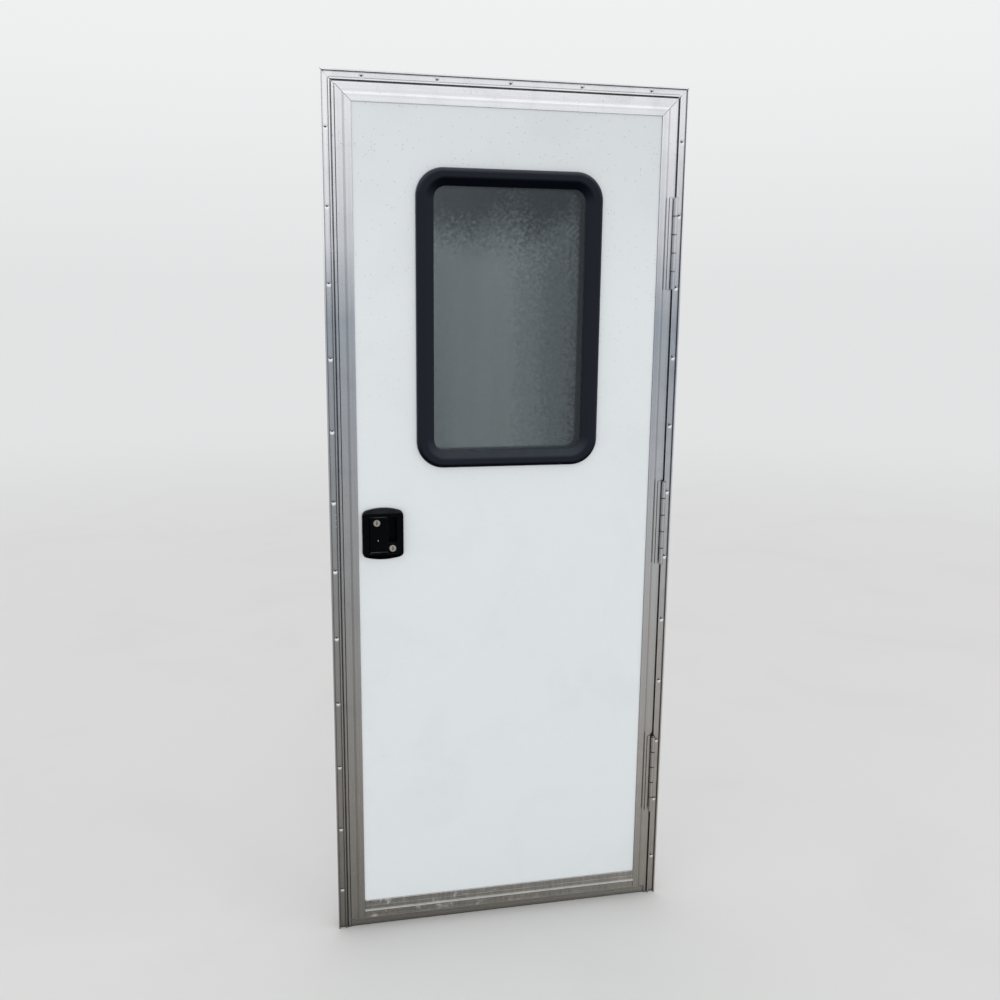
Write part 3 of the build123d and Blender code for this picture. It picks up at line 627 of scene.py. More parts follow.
def aluminium(name, along, pitted, marks=None, crevice_cutoff=0.32):
    """Mill aluminium with die lines along one axis, pits, soiling with painted shade in its slots and
    corners, a painted highlight on its convex edges, and the marks of its piece.
    """
    finish = bpy.context.scene.door_aluminium
    material, tree, shader, place = fresh_material(name)
    across, run = 1 / finish.line_width, 1 / finish.line_length
    stretch = tuple(run if axis == along else across for axis in "XYZ")
    lines = placed(tree, drawn_lines, Vector=place, Stretch=stretch)
    tone = placed(tree, height_tone, Vector=place)["Color"]
    cloud = placed(tree, smudges, Vector=place, Scale=14.0)["Mask"]
    pits = placed(tree, specks, Vector=place, Scale=260.0, Size=0.30, Share=pitted)["Mask"]
    thick = placed(tree, smudges, Vector=place, Scale=24.0, Start=0.40, End=0.62)["Mask"]
    edges = placed(tree, edge_wear_and_highlight, Vector=place, Radius=EDGE_HIGHLIGHT_RADIUS, Break_Scale=30.0)["Mask"]
    # Soiling and painted shade in slots, gaps and corners.
    grime_and_shade = placed(tree, crevice_dirt_and_shade, Reach=finish.dirt_and_shade_reach, Start=crevice_cutoff + 0.40, End=crevice_cutoff)["Mask"]
    lined = ranged(tree, lines["Lines"], 0, 1, 0.95, 1.03, smooth=False)
    streaked = ranged(tree, lines["Streaks"], 0, 1, 0.93, 1.04, smooth=False)
    toned = scaled(tree, scaled(tree, tone, lined), streaked)
    toned = mixed(tree, times(tree, cloud, 0.10), toned, finish.speck)
    pits = times(tree, pits, thick)
    toned = mixed(tree, times(tree, pits, 0.75), toned, finish.speck)
    # Painted highlight on the convex edges.
    rubbed_and_lit = ranged(tree, edges, 0, 1, 1.0, 1.3, smooth=False)
    toned = scaled(tree, toned, rubbed_and_lit)
    rough = ranged(tree, lines["Streaks"], 0, 1, finish.roughness, finish.roughness + 0.08, smooth=False)
    rough = plus(tree, rough, times(tree, cloud, 0.10))
    toned = mixed(tree, times(tree, grime_and_shade, 0.95), toned, finish.dirt_and_shade)
    if marks:
        toned = marks(tree, place, toned)
    rough = plus(tree, rough, times(tree, grime_and_shade, 0.4))
    feed(tree, shader, Base_Color=toned, Roughness=rough, Metallic=1.0)
    bumped(tree, shader, lines["Lines"], finish.line_depth)
    return material


def splashes(tree, place, toned):
    """Dried splashes and runs on the bottom rail, and a painted highlight along its drip lip."""
    finish = bpy.context.scene.door_aluminium
    parts = axes(tree, place)
    from_middle = minus(tree, parts["X"], middle_of("door_bottom_rail").x)
    blot = placed(tree, smudges, Vector=place, Scale=38.0, Start=0.55, End=0.68)["Mask"]
    blot = times(tree, blot, ranged(tree, from_middle, SPLASH_START, SPLASH_FULL, 0.1, 0.85))
    drips = placed(tree, drawn_lines, Vector=place, Stretch=DRIP_STRETCH)
    run = ranged(tree, drips["Lines"], 0, 1, 0.80, 1.16, smooth=False)
    toned = scaled(tree, toned, run)
    toned = mixed(tree, blot, toned, finish.scuff)
    # Painted highlight along the drip lip.
    rise = minus(tree, parts["Z"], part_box("door_bottom_rail")[0].z + finish.lip_rise)
    lip = ranged(tree, absolute(tree, rise), LIP_FADE, LIP_HALF, 0.0, 0.8)
    return mixed(tree, lip, toned, finish.highlight_tone)


def knuckle_joints(tree, place, toned):
    """Dark joints between the knuckles of the hinges."""
    low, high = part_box("lower_hinge_door_leaf")
    pin = middle_of("lower_hinge_pin")
    pitch = (high.z - low.z) / KNUCKLES
    parts = axes(tree, place)
    rise = minus(tree, parts["Z"], low.z)
    off_joint = calculate(tree, "PINGPONG", rise, pitch / 2)
    near_joint = ranged(tree, off_joint, JOINT_FADE, JOINT_HALF, 0.0, 0.85)
    aside = absolute(tree, minus(tree, parts["X"], pin.x))
    on_barrel = ranged(tree, aside, BARREL_R + BARREL_FADE, BARREL_R)
    joint = times(tree, near_joint, on_barrel)
    return mixed(tree, joint, toned, bpy.context.scene.door_aluminium.dirt_and_shade)


def hole_glints(tree, place, toned):
    """Painted highlights on the lower sides of the dimples round the flange's screw holes, duller towards
    the sill.
    """
    finish = bpy.context.scene.door_hardware
    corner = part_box("hinge_jamb")[1]
    half_pitch, hole_r = finish.hole_pitch / 2, finish.hole_shade_radius
    parts = axes(tree, place)
    aside = minus(tree, absolute(tree, parts["X"]), corner.x - finish.hole_inset)
    fall = minus(tree, parts["Z"], corner.z - finish.top_hole_drop)
    fall = calculate(tree, "WRAP", fall, half_pitch, -half_pitch)
    # Painted highlight just below each hole.
    from_glint = hypotenuse(tree, aside, plus(tree, fall, GLINT_DROP))
    from_hole = hypotenuse(tree, aside, fall)
    glint = ranged(tree, from_glint, GLINT_R, GLINT_R / 3)
    glint = times(tree, glint, ranged(tree, from_hole, hole_r, HOLE_FADE * hole_r))
    dull_below, bright_above = middle_of("lower_hinge_pin").z, middle_of("lock_bezel").z
    bright = ranged(tree, parts["Z"], dull_below, bright_above, 0.3, 0.9)
    return mixed(tree, times(tree, glint, bright), toned, bpy.context.scene.door_aluminium.highlight_tone)


def white_skin(name, dust_and_sheen_share):
    """Gelcoat with a faint orange peel and smudges. Dust specks thicken towards the top; painted shade
    covers its upper part and deepens towards the hinge side; soiling with painted shade runs along its
    edges.
    """
    finish = bpy.context.scene.door_skin
    material, tree, shader, place = fresh_material(name)
    dots = placed(tree, specks, Vector=place, Scale=180.0, Size=0.33, Share=dust_and_sheen_share)["Mask"]
    cloud = placed(tree, smudges, Vector=place, Scale=5.0)["Mask"]
    # Soiling and painted shade along the panel's edges.
    grime_and_shade = placed(tree, crevice_dirt_and_shade, Reach=THIN_DIRT_AND_SHADE)["Mask"]
    low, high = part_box("outer_skin")
    parts = axes(tree, place)
    # Painted shade over the panel's upper part, deepest towards the hinge side.
    upper_shade = ranged(tree, parts["Z"], middle_of("window_glass").z, high.z, 0.0, finish.smudge_and_shade)
    aside = ranged(tree, parts["X"], low.x, high.x, 0.5, 1.0, smooth=False)
    smudge_and_shade = plus(tree, times(tree, cloud, finish.smudge), times(tree, upper_shade, aside))
    thick = ranged(tree, parts["Z"], middle_of("lock_bezel").z, high.z, 0.08, 0.42)
    white = mixed(tree, times(tree, dots, thick), finish.white, finish.speck)
    shaded = mixed(tree, smudge_and_shade, white, finish.speck)
    shaded = mixed(tree, times(tree, grime_and_shade, 0.8), shaded, finish.dirt_and_shade)
    rough = ranged(tree, cloud, 0, 1, finish.roughness, finish.roughness + 0.10, smooth=False)
    feed(tree, shader, Base_Color=shaded, Roughness=rough, Specular_IOR_Level=0.35)
    peel = noise_texture(tree, Vector=place, Scale=1 / finish.peel_size, Detail=1.0)["Fac"]
    bumped(tree, shader, peel, finish.peel_depth)
    return material


def black_moulding(name, base, roughness, specular, wear, dust_and_sheen_share):
    """Black moulded plastic with a fine grain and worn edges. Dust and a painted sheen lighten what faces
    up, and a painted reflection is strong where it faces up and nearly gone where it faces down.
    """
    finish = bpy.context.scene.door_plastic
    material, tree, shader, place = fresh_material(name)
    worn = placed(tree, edge_wear_and_highlight, Vector=place)["Mask"]
    dust_and_sheen = placed(tree, settled_dust_and_sheen, Vector=place)["Mask"]
    cloud = placed(tree, smudges, Vector=place, Scale=22.0)["Mask"]
    grain = placed(tree, moulded_grain, Vector=place, Size=finish.grain_size)
    black = mixed(tree, times(tree, worn, wear), base, finish.worn)
    # Dust and a painted sheen on what faces up.
    black = mixed(tree, times(tree, dust_and_sheen, dust_and_sheen_share), black, finish.dust_and_sheen)
    rough = ranged(tree, cloud, 0, 1, roughness, roughness + 0.12, smooth=False)
    rough = plus(tree, rough, times(tree, dust_and_sheen, 0.15))
    # Painted reflection: much more gloss where the moulding faces up, almost none where it faces down.
    up = facing_axes(tree)["Z"]
    shine = ranged(tree, up, -0.5, 0.6, SHINE_BELOW * specular, SHINE_ABOVE * specular)
    feed(tree, shader, Base_Color=black, Roughness=rough, Specular_IOR_Level=shine)
    feed(tree, shader, Specular_Tint=(*finish.sheen, 1))
    bumped(tree, shader, grain["Height"], finish.grain_depth)
    return material


def seal_rubber(name):
    """Matt black rubber with dust."""
    finish = bpy.context.scene.door_plastic
    material, tree, shader, place = fresh_material(name)
    cloud = placed(tree, smudges, Vector=place, Scale=60.0)["Mask"]
    dust_and_sheen = placed(tree, settled_dust_and_sheen, Vector=place)["Mask"]
    grain = placed(tree, moulded_grain, Vector=place, Size=finish.grain_size)
    dull = mixed(tree, times(tree, cloud, 0.10), finish.rubber, finish.dust_and_sheen)
    dull = mixed(tree, times(tree, dust_and_sheen, 0.25), dull, finish.dust_and_sheen)
    rough = ranged(tree, cloud, 0, 1, 0.72, 0.9, smooth=False)
    feed(tree, shader, Base_Color=dull, Roughness=rough)
    bumped(tree, shader, grain["Height"], finish.grain_depth)
    return material


def worn_nickel(name):
    """Nickel with fine scratches, smudges, and soiling with painted shade in its corners."""
    finish = bpy.context.scene.door_hardware
    material, tree, shader, place = fresh_material(name)
    lines = placed(tree, drawn_lines, Vector=place, Stretch=SCRATCH_STRETCH)
    cloud = placed(tree, smudges, Vector=place, Scale=90.0)["Mask"]
    # Soiling and painted shade in the corners.
    grime_and_shade = placed(tree, crevice_dirt_and_shade, Reach=THIN_DIRT_AND_SHADE)["Mask"]
    dull = tuple(part * 0.55 for part in finish.nickel)
    metal = mixed(tree, times(tree, cloud, 0.5), finish.nickel, dull)
    metal = mixed(tree, grime_and_shade, metal, bpy.context.scene.door_aluminium.dirt_and_shade)
    rough = ranged(tree, lines["Streaks"], 0, 1, finish.roughness, finish.roughness + 0.15, smooth=False)
    feed(tree, shader, Base_Color=metal, Roughness=rough, Metallic=1.0)
    bumped(tree, shader, lines["Lines"], SCRATCH_DEPTH)
    return material


def core_foam(name):
    """Pale rigid foam with small cells."""
    material, tree, shader, place = fresh_material(name)
    cells = add_node(tree, "ShaderNodeTexVoronoi", Vector=place, Scale=700.0).outputs["Distance"]
    pale = mixed(tree, ranged(tree, cells, 0.1, 0.7), FOAM_PALE, FOAM_DARK)
    feed(tree, shader, Base_Color=pale, Roughness=0.85)
    bumped(tree, shader, cells, FOAM_DEPTH)
    return material


def obscure_glass(name):
    """Tinted glass with painted shade towards its top and its sides, in a stripe and in soft upright
    streaks, crinkled as the dimples throw what it shows.
    """
    finish = bpy.context.scene.door_pane
    material, tree, shader, place = fresh_material(name)
    low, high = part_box("window_glass")
    tall, wide, middle = high.z - low.z, high.x - low.x, (low.z + high.z) / 2
    seen = placed(tree, hammered_view, Vector=place, Cell=finish.cell, Sway=finish.sway)
    band = vector_math(tree, "MULTIPLY", seen["Vector"], STREAK_STRETCH).outputs[0]
    cloud = noise_texture(tree, Vector=band, Scale=1.0, Detail=1.0)["Fac"]
    dirt_and_shade = placed(tree, specks, Vector=place, Scale=120.0, Size=0.10, Share=0.06)["Mask"]
    parts = axes(tree, seen["Vector"])
    # Painted shade: darker towards the top, towards the hinges, at the latch edge, in a stripe and in soft
    # streaks.
    top_start, top_full = high.z - finish.top_band * tall, high.z - PANE_MARGIN * tall
    upper = ranged(tree, parts["Z"], top_start, top_full, 0.0, finish.top_shade)
    side_start, side_full = high.x - finish.side_band * wide, high.x + PANE_MARGIN * wide
    side = ranged(tree, parts["X"], side_start, side_full, 0.0, finish.side_shade)
    edge = ranged(tree, parts["X"], low.x, low.x + finish.edge_band * wide, finish.edge_shade, 0.0)
    off_stripe = absolute(tree, minus(tree, parts["X"], low.x + finish.stripe_place * wide))
    stripe = ranged(tree, off_stripe, 0.0, finish.stripe_width * wide, finish.stripe_shade, 0.0)
    aside = plus(tree, plus(tree, side, edge), stripe)
    shadow = calculate(tree, "MAXIMUM", upper, aside)
    streak_shading = ranged(tree, cloud, 0.35, 0.65, 0.0, finish.streak_shade)
    crinkle = ranged(tree, seen["Lumps"], 0.38, 0.62, -finish.crinkle, finish.crinkle)
    crinkle = times(tree, crinkle, ranged(tree, parts["Z"], middle, high.z, 0.2, 0.9))
    dim = plus(tree, plus(tree, shadow, crinkle), streak_shading, clamp=True)
    tint = mixed(tree, dim, finish.tint, finish.shade)
    paler = tuple(part * 1.6 for part in finish.tint)
    tint = mixed(tree, times(tree, dirt_and_shade, 0.4), tint, paler)
    rough = ranged(tree, cloud, 0, 1, finish.roughness, finish.roughness + 0.10, smooth=False)
    feed(tree, shader, Base_Color=tint, Roughness=rough, Specular_Tint=(*finish.sheen, 1))
    feed(tree, shader, Transmission_Weight=1.0, IOR=1.5)
    ripple = noise_texture(tree, Vector=place, Scale=620.0, Detail=2.0)["Fac"]
    bumped(tree, shader, ripple, RIPPLE_DEPTH)
    return material


def dress(node, material):
    """Gives a carried-over piece its finish."""
    mesh = NODES[node].data
    mesh.materials.clear()
    mesh.materials.append(material)


def new_piece(name, mesh, body, slot, material=None):
    """A new piece that rides on a body, in a material or else in the frame's own one for its slot."""
    piece = bpy.data.objects.new(name, mesh)
    bpy.context.scene.collection.objects.link(piece)
    mesh.materials.append(material or bpy.data.materials[slot])
    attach(piece, body)
    return piece


class DOOR_OT_finish_aluminium(bpy.types.Operator):
    """Finish the jambs, the sill, the stiles and the rails in mill aluminium"""

    bl_idname = "entry_door.finish_aluminium"
    bl_label = "Finish the aluminium"

    def execute(self, context):
        upright = aluminium("mill_aluminium_upright", "Z", pitted=0.12, marks=hole_glints, crevice_cutoff=0.42)
        level = aluminium("mill_aluminium_level", "X", pitted=0.45, crevice_cutoff=0.50)
        for bar in UPRIGHT_BARS:
            dress(bar, upright)
        for bar in LEVEL_BARS:
            dress(bar, level)
        splashed = aluminium("mill_aluminium_splashed", "X", pitted=0.30, marks=splashes)
        dress("door_bottom_rail", splashed)
        return {"FINISHED"}


class DOOR_OT_finish_panel(bpy.types.Operator):
    """Finish the two white skins and the foam between them"""

    bl_idname = "entry_door.finish_panel"
    bl_label = "Finish the panel"

    def execute(self, context):
        dress("outer_skin", white_skin("white_skin_outer", dust_and_sheen_share=0.28))
        dress("inner_skin", white_skin("white_skin_inner", dust_and_sheen_share=0.03))
        dress("foam_core", core_foam("core_foam"))
        return {"FINISHED"}


class DOOR_OT_finish_hinges(bpy.types.Operator):
    """Finish the hinge leaves in mill aluminium with dark joints between the knuckles"""

    bl_idname = "entry_door.finish_hinges"
    bl_label = "Finish the hinges"

    def execute(self, context):
        jointed = aluminium("mill_aluminium_hinges", "Z", pitted=0.12, marks=knuckle_joints)
        for hinge in HINGES:
            dress(f"{hinge}_hinge_frame_leaf", jointed)
            dress(f"{hinge}_hinge_door_leaf", jointed)
        return {"FINISHED"}


class DOOR_OT_finish_seals(bpy.types.Operator):
    """Finish the bulb seals in black rubber"""

    bl_idname = "entry_door.finish_seals"
    bl_label = "Finish the seals"

    def execute(self, context):
        rubber = seal_rubber("seal_rubber")
        for seal in SEALS:
            dress(seal, rubber)
        return {"FINISHED"}


class DOOR_OT_finish_window(bpy.types.Operator):
    """Finish the window's outer ring and inside trim in black plastic"""

    bl_idname = "entry_door.finish_window"
    bl_label = "Finish the window rings"

    def execute(self, context):
        finish = context.scene.door_plastic
        tone = (finish.ring, finish.ring_roughness)
        ring = black_moulding("black_plastic_ring", *tone, specular=0.31, wear=0.15, dust_and_sheen_share=0.12)
        dress("window_outer_frame", ring)
        trim = black_moulding("black_plastic_trim", *tone, specular=0.02, wear=0.1, dust_and_sheen_share=0.0)
        dress("window_inner_frame", trim)
        return {"FINISHED"}


class DOOR_OT_make_pane(bpy.types.Operator):
    """Make the obscure pane with its hammered outer face"""

    bl_idname = "entry_door.make_pane"
    bl_label = "Make the pane"

    def execute(self, context):
        mesh = pane_mesh(context.scene.door_pane, *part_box("window_glass"))
        pane = new_piece("hammered_pane", mesh, "door", "obscure_glass", obscure_glass("obscure_glass"))
        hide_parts("window_glass")
        return {"FINISHED"}


def dimple(x, z, cell):
    """How deep the hammered face lies at a point, from 0 to 1."""
    point = Vector((x / cell, NOISE_SLICE, z / cell))
    broad = noise.noise(point * BROAD_SCALE)
    fine = noise.noise(point * FINE_SCALE)
    return 0.5 + BROAD_SHARE * broad + FINE_SHARE * fine


def pane_mesh(finish, low, high):
    """A rounded sheet of glass: dimpled outside, flat inside."""
    middle = (low + high) / 2
    half_w, half_h = (high.x - low.x) / 2, (high.z - low.z) / 2
    columns = round(2 * half_w / finish.step)
    rows = round(2 * half_h / finish.step)
    builder = bmesh.new()
    grid = []
    for row in range(rows + 1):
        z = half_h * (2 * row / rows - 1)
        into_corner = max(0.0, abs(z) - (half_h - finish.corner))
        inset = finish.corner - math.sqrt(max(0.0, finish.corner**2 - into_corner**2))
        reach = half_w - inset
        line = []
        for column in range(columns + 1):
            x = reach * (2 * column / columns - 1)
            y = low.y + finish.depth * dimple(x, z, finish.cell)
            line.append(builder.verts.new((middle.x + x, y, middle.z + z)))
        grid.append(line)
    for lower, upper in zip(grid, grid[1:]):
        for column in range(columns):
            face = (lower[column], lower[column + 1], upper[column + 1], upper[column])
            builder.faces.new(face).smooth = True
    rim = grid[0] + [line[-1] for line in grid[1:]]
    rim += grid[-1][-2::-1] + [line[0] for line in grid[-2:0:-1]]
    back = [builder.verts.new((vertex.co.x, high.y, vertex.co.z)) for vertex in rim]
    for index in range(len(rim)):
        after = (index + 1) % len(rim)
        builder.faces.new((rim[after], rim[index], back[index], back[after]))
    builder.faces.new(back[::-1])
    return finished(builder, "hammered_pane")


class DOOR_OT_finish_lock(bpy.types.Operator):
    """Finish the lock's mouldings and key plugs, inside and out"""

    bl_idname = "entry_door.finish_lock"
    bl_label = "Finish the lock"

    def execute(self, context):
        finish = context.scene.door_plastic
        tone = (finish.lock, finish.lock_roughness)
        black = black_moulding("black_plastic_lock", *tone, specular=0.05, wear=0.45, dust_and_sheen_share=0.12)
        for piece in ("lock_bezel", "lock_inner_plate", "inner_lever", "deadbolt_knob"):
            dress(piece, black)
        dust_and_sheen_share = black_moulding("black_plastic_paddle", *tone, specular=0.05, wear=0.6, dust_and_sheen_share=0.8)
        dress("lock_paddle", dust_and_sheen_share)
        nickel = worn_nickel("nickel")
        dress("paddle_key_plug", nickel)
        dress("deadbolt_key_plug", nickel)
        return {"FINISHED"}


class DOOR_OT_add_fasteners(bpy.types.Operator):
    """Add the screws, the keeper's rivets, the paddle's pin and dark discs of painted shade in the flange's
    holes
    """

    bl_idname = "entry_door.add_fasteners"
    bl_label = "Add the fasteners"

    def execute(self, context):
        finish = context.scene.door_hardware
        for name, body, outward, places in (
            ("trim_screws", "door", INWARD, trim_screw_places(finish)),
            ("lock_plate_screws", "door", INWARD, lock_plate_places()),
            ("strike_screws", "frame", Vector((1, 0, 0)), strike_places()),
        ):
            build = joined(screw_head, places, outward, finish.screw_radius, finish.screw_height)
            new_piece(name, finished(build, name), body, "plated_steel")
        build = joined(dome, rivet_places(), OUTWARD, finish.rivet_radius, finish.rivet_height)
        new_piece("keeper_rivets", finished(build, "keeper_rivets"), "frame", "plated_steel")
        # Dark discs behind the flange's holes, as painted shade.
        build = joined(dome, hole_places(finish), OUTWARD, finish.hole_shade_radius, finish.hole_shade_height)
        new_piece("hole_shade_discs", finished(build, "hole_shade_discs"), "frame", "seal_rubber")
        build = joined(dome, paddle_pin_places(), OUTWARD, finish.pin_radius, finish.pin_height)
        new_piece("paddle_stop_pin", finished(build, "paddle_stop_pin"), "paddle", "plated_steel")
        return {"FINISHED"}


def trim_screw_places(finish):
    """Places round the middle of the inside trim's face."""
    low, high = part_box("window_inner_frame")
    middle = (low + high) / 2
    inset = (high.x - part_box("window_glass")[1].x) / 2
    half_w, half_h = (high.x - low.x) / 2 - inset, (high.z - low.z) / 2 - inset
    radius = bpy.context.scene.door_pane.corner + inset
    spots = round_walk(half_w, half_h, radius, finish.trim_screws)
    return [Vector((middle.x + spot.x, high.y, middle.z + spot.y)) for spot in spots]


def round_walk(half_w, half_h, radius, count):
    """Evenly spaced places along a rounded rectangle."""
    outline = []
    for corner, (side_x, side_y) in enumerate(((1, 1), (-1, 1), (-1, -1), (1, -1))):
        centre = Vector((side_x * (half_w - radius), side_y * (half_h - radius)))
        for step in range(ARC_STEPS + 1):
            angle = math.pi / 2 * (corner + step / ARC_STEPS)
            outline.append(centre + radius * Vector((math.cos(angle), math.sin(angle))))
    sides = list(zip(outline, outline[1:] + outline[:1]))
    pitch = sum((end - start).length for start, end in sides) / count
    places, walked = [], 0.0
    for start, end in sides:
        run = (end - start).length
        while len(places) < count and pitch * (len(places) + 0.5) <= walked + run:
            places.append(start.lerp(end, (pitch * (len(places) + 0.5) - walked) / run))
        walked += run
    return places


def lock_plate_places():
    """Places above and below the lever on the lock's inside plate."""
    low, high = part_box("lock_inner_plate")
    middle = (low + high) / 2
    reach = (high.z - low.z) / 2 - PLATE_SCREW_INSET
    return [Vector((middle.x, high.y, middle.z + side * reach)) for side in (-1, 1)]


def strike_places():
    """Places near both ends of the strike plate."""
    low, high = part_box("strike_plate")
    levels = (low.z + STRIKE_INSET, high.z - STRIKE_INSET)
    return [Vector((high.x, (low.y + high.y) / 2, z)) for z in levels]


def rivet_places():
    """Places of the keeper's rivets in the latch flange's channel, above the lock's middle."""
    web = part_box("sill")[0].y
    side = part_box("latch_jamb")[0].x + RIVET_FROM_EDGE
    return [Vector((side, web, middle_of("lock_bezel").z + rise)) for rise in RIVET_RISES]


def hole_places(finish):
    """Places of the flange's screw holes, on its back face."""
    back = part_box("sill")[0].y + finish.flange
    low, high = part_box("latch_jamb")[0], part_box("hinge_jamb")[1]
    places = []
    for row in range(finish.jamb_holes):
        z = high.z - finish.top_hole_drop - finish.hole_pitch * row
        places += [Vector((x, back, z)) for x in (low.x + finish.hole_inset, high.x - finish.hole_inset)]
    for hole in range(finish.head_holes):
        x = finish.hole_pitch * (hole - (finish.head_holes - 1) / 2)
        places.append(Vector((x, back, high.z - finish.hole_inset)))
    return places


def paddle_pin_places():
    """The place of the small pin in the paddle's face."""
    x = middle_of("paddle_key_plug").x + PIN_ASIDE
    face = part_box("paddle_key_plug")[0].y + PLUG_PROUD
    return [Vector((x, face, middle_of("lock_paddle").z - PIN_DROP))]


def joined(shape, places, *sizes):
    """One mesh builder with the same shape at every place."""
    builder = bmesh.new()
    for place in places:
        shape(builder, place, *sizes)
    return builder


def finished(builder, name):
    """The mesh of a builder, with its faces turned outwards."""
    bmesh.ops.recalc_face_normals(builder, faces=builder.faces)
    mesh = bpy.data.meshes.new(name)
    builder.to_mesh(mesh)
    builder.free()
    return mesh


def turned(builder, place, outward, profile):
    """Adds a turned solid from (radius, height) points. Returns its last ring."""
    side = outward.orthogonal().normalized()
    across = outward.cross(side)
    rings = []
    for radius, height in profile:
        spokes = (math.tau * step / ROUND_STEPS for step in range(ROUND_STEPS))
        ring = [
            builder.verts.new(
                place + outward * height + radius * (side * math.cos(angle) + across * math.sin(angle))
            )
            for angle in spokes
        ]
        rings.append(ring)
    for lower, upper in zip(rings, rings[1:]):
        for step in range(ROUND_STEPS):
            after = (step + 1) % ROUND_STEPS
            builder.faces.new((lower[step], lower[after], upper[after], upper[step])).smooth = True
    builder.faces.new(rings[0][::-1])
    return rings[-1]


def dome(builder, place, outward, radius, height):
    """Adds a low round head."""
    steps = [math.pi / 2 * step / DOME_STEPS for step in range(DOME_STEPS)]
    profile = [(radius * math.cos(angle), height * math.sin(angle)) for angle in steps]
    builder.faces.new(turned(builder, place, outward, profile)).smooth = True


def screw_head(builder, place, outward, radius, height):
    """Adds a pan head with a cross recess."""
    low = height * 0.35
    profile = [(radius, 0), (radius, low), (radius * 0.86, height * 0.8), (radius * 0.62, height)]
    rim = turned(builder, place, outward, profile)
    side = outward.orthogonal().normalized()
    across = outward.cross(side)
    arm, slot = radius * 0.5, radius * 0.11
    quarter = ((slot, arm), (slot, slot), (arm, slot))
    cross = []
    for turn in range(4):
        spin = Matrix.Rotation(-math.pi / 2 * turn, 2)
        cross += [spin @ Vector(point) for point in quarter]
    top, floor = [], []
    for level, loop in ((height, top), (low, floor)):
        for point in cross:
            loop.append(builder.verts.new(place + outward * level + side * point.x + across * point.y))
    edges = [builder.edges.new(pair) for pair in zip(top, top[1:] + top[:1])]
    edges += [builder.edges.get(pair) for pair in zip(rim, rim[1:] + rim[:1])]
    bmesh.ops.triangle_fill(builder, use_beauty=True, edges=edges)
    for index in range(len(top)):
        after = (index + 1) % len(top)
        builder.faces.new((top[index], top[after], floor[after], floor[index]))
    builder.faces.new(floor)


class DOOR_OT_build_stage(bpy.types.Operator):
    """Build the floor, the backdrop light, the lamp and the camera"""

    bl_idname = "entry_door.build_stage"
    bl_label = "Build the stage"

    def execute(self, context):
        stage = context.scene.door_stage
        build_floor(stage)
        build_backdrop(stage)
        build_lamp(stage)
        build_camera(stage)
        context.scene.view_settings.view_transform = "Standard"
        return {"FINISHED"}


def build_floor(stage):
    """A wide pale floor under the sill, which fades into the backdrop."""
    builder = bmesh.new()
    bmesh.ops.create_circle(builder, cap_ends=True, segments=FLOOR_SIDES, radius=FLOOR_RADIUS)
    mesh = bpy.data.meshes.new("floor")
    builder.to_mesh(mesh)
    builder.free()
    floor = bpy.data.objects.new("floor", mesh)
    floor.location.z = CAD_LOW.z
    bpy.context.scene.collection.objects.link(floor)
    material, tree, shader, place = fresh_material("pale_floor")
    cloud = placed(tree, smudges, Vector=place, Scale=1.5)["Mask"]
    shade = tuple(part * 0.97 for part in stage.floor)
    pale = mixed(tree, cloud, stage.floor, shade)
    feed(tree, shader, Base_Color=pale, Roughness=0.85, Specular_IOR_Level=0.2)
    away = vector_math(tree, "LENGTH", place, ORIGIN).outputs["Value"]
    faded = ranged(tree, away, stage.fade_start, stage.fade_end)
    glow = add_node(tree, "ShaderNodeEmission", Color=(*stage.horizon, 1), Strength=1.0)
    blend = add_node(tree, "ShaderNodeMixShader", Fac=faded)
    tree.links.new(shader.outputs[0], blend.inputs[1])
    tree.links.new(glow.outputs[0], blend.inputs[2])
    tree.links.new(blend.outputs[0], tree.nodes["Material Output"].inputs["Surface"])
    mesh.materials.append(material)


def build_backdrop(stage):
    """A plain backdrop that brightens upwards."""
    world = bpy.data.worlds.new("backdrop")
    world.use_nodes = True
    tree = world.node_tree
    tree.nodes.clear()
    place = tree.nodes.new("ShaderNodeTexCoord").outputs["Generated"]
    ramp = add_node(tree, "ShaderNodeValToRGB", Fac=axes(tree, place)["Z"])
    ramp.color_ramp.elements.new(HAZE_LEVEL)
    for element, tone in zip(ramp.color_ramp.elements, (stage.horizon, stage.haze, stage.zenith)):
        element.color = (*tone, 1)
    glow = add_node(tree, "ShaderNodeBackground", Color=ramp.outputs["Color"], Strength=1.0)
    output = tree.nodes.new("ShaderNodeOutputWorld")
    tree.links.new(glow.outputs[0], output.inputs["Surface"])
    bpy.context.scene.world = world


def build_lamp(stage):
    """A soft square lamp in front that looks at the middle of the door, and isn't seen in reflections."""
    light = bpy.data.lights.new("key_lamp", "AREA")
    light.shape, light.size, light.energy = "SQUARE", stage.lamp_size, stage.key_power
    lamp = bpy.data.objects.new("key_lamp", light)
    lamp.location = stage.lamp_place
    aim = (CAD_LOW + CAD_HIGH) / 2 - lamp.location
    lamp.rotation_mode = "QUATERNION"
    lamp.rotation_quaternion = aim.to_track_quat("-Z", "Y")
    lamp.visible_glossy = False
    bpy.context.scene.collection.objects.link(lamp)


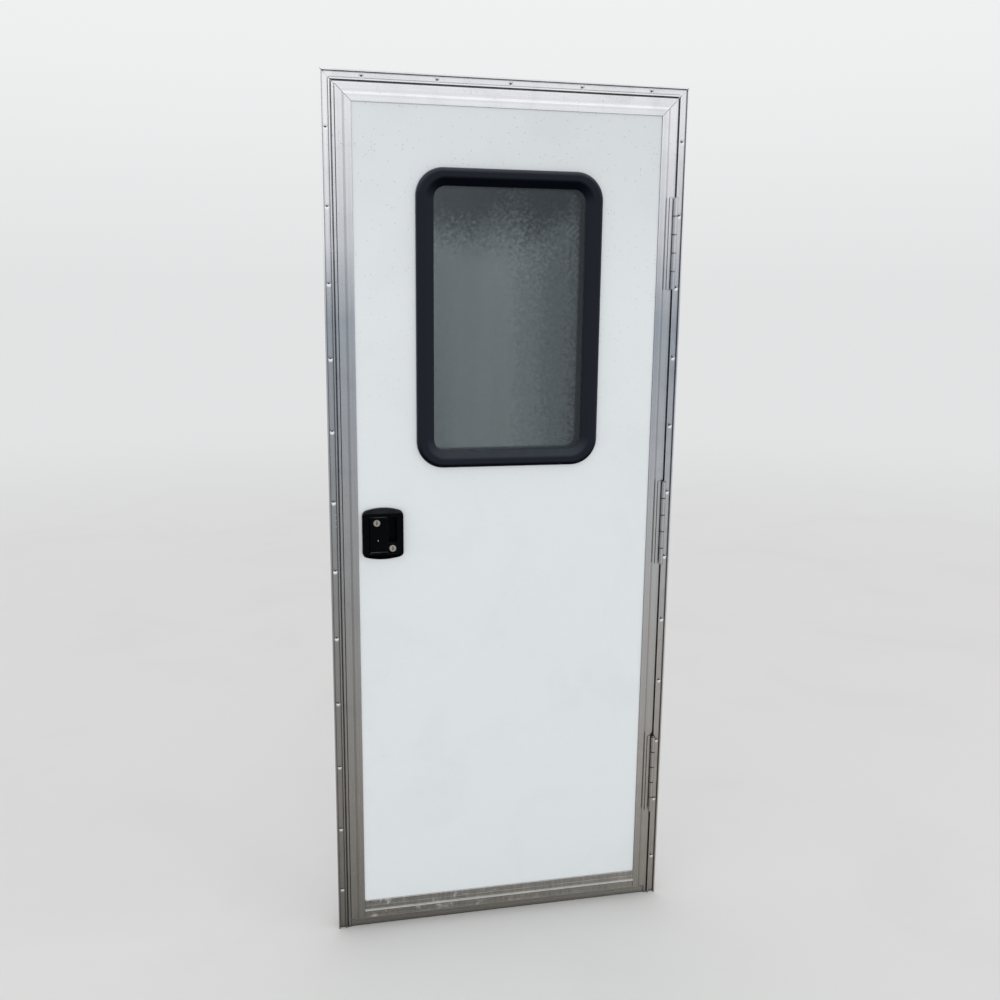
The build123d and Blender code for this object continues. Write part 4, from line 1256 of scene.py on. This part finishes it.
def build_camera(stage):
    """The camera at the angle of the photograph, for a square picture."""
    lens = bpy.data.cameras.new("camera")
    lens.lens, lens.sensor_width, lens.sensor_fit = stage.camera_lens, SENSOR_MM, "HORIZONTAL"
    camera = bpy.data.objects.new("camera", lens)
    upright = Matrix.Rotation(math.pi / 2 - stage.camera_dip, 4, "X")
    heading = Matrix.Rotation(-stage.camera_heading, 4, "Z")
    roll = Matrix.Rotation(stage.camera_roll, 4, "Z")
    camera.matrix_world = Matrix.Translation(stage.camera_place) @ heading @ upright @ roll
    bpy.context.scene.collection.objects.link(camera)
    bpy.context.scene.camera = camera


class DOOR_PT_sidebar(bpy.types.Panel):
    """Settings and steps of the entry door"""

    bl_label = "Entry door"
    bl_idname = "DOOR_PT_sidebar"
    bl_space_type = "VIEW_3D"
    bl_region_type = "UI"
    bl_category = "Entry door"

    def draw(self, context):
        for operator in OPERATORS:
            self.layout.operator(operator.bl_idname)
        for name, group in SETTINGS.items():
            box = self.layout.box()
            box.label(text=group.__doc__)
            for setting in group.__annotations__:
                box.prop(getattr(context.scene, name), setting)


OPERATORS = (
    DOOR_OT_finish_aluminium,
    DOOR_OT_finish_panel,
    DOOR_OT_finish_hinges,
    DOOR_OT_finish_seals,
    DOOR_OT_finish_window,
    DOOR_OT_make_pane,
    DOOR_OT_finish_lock,
    DOOR_OT_add_fasteners,
    DOOR_OT_build_stage,
)
CLASSES = (*SETTINGS.values(), *OPERATORS, DOOR_PT_sidebar)


def register():
    """Registers the settings, the operators and the panel."""
    for each in CLASSES:
        bpy.utils.register_class(each)
    for name, group in SETTINGS.items():
        setattr(bpy.types.Scene, name, PointerProperty(type=group))


def unregister():
    """Takes away what register adds."""
    for name in SETTINGS:
        delattr(bpy.types.Scene, name)
    for each in reversed(CLASSES):
        bpy.utils.unregister_class(each)


def main():
    """Builds the whole scene."""
    register()
    bpy.ops.entry_door.finish_aluminium()
    bpy.ops.entry_door.finish_panel()
    bpy.ops.entry_door.finish_hinges()
    bpy.ops.entry_door.finish_seals()
    bpy.ops.entry_door.finish_window()
    bpy.ops.entry_door.make_pane()
    bpy.ops.entry_door.finish_lock()
    bpy.ops.entry_door.add_fasteners()
    bpy.ops.entry_door.build_stage()


if __name__ == "__main__":
    main()
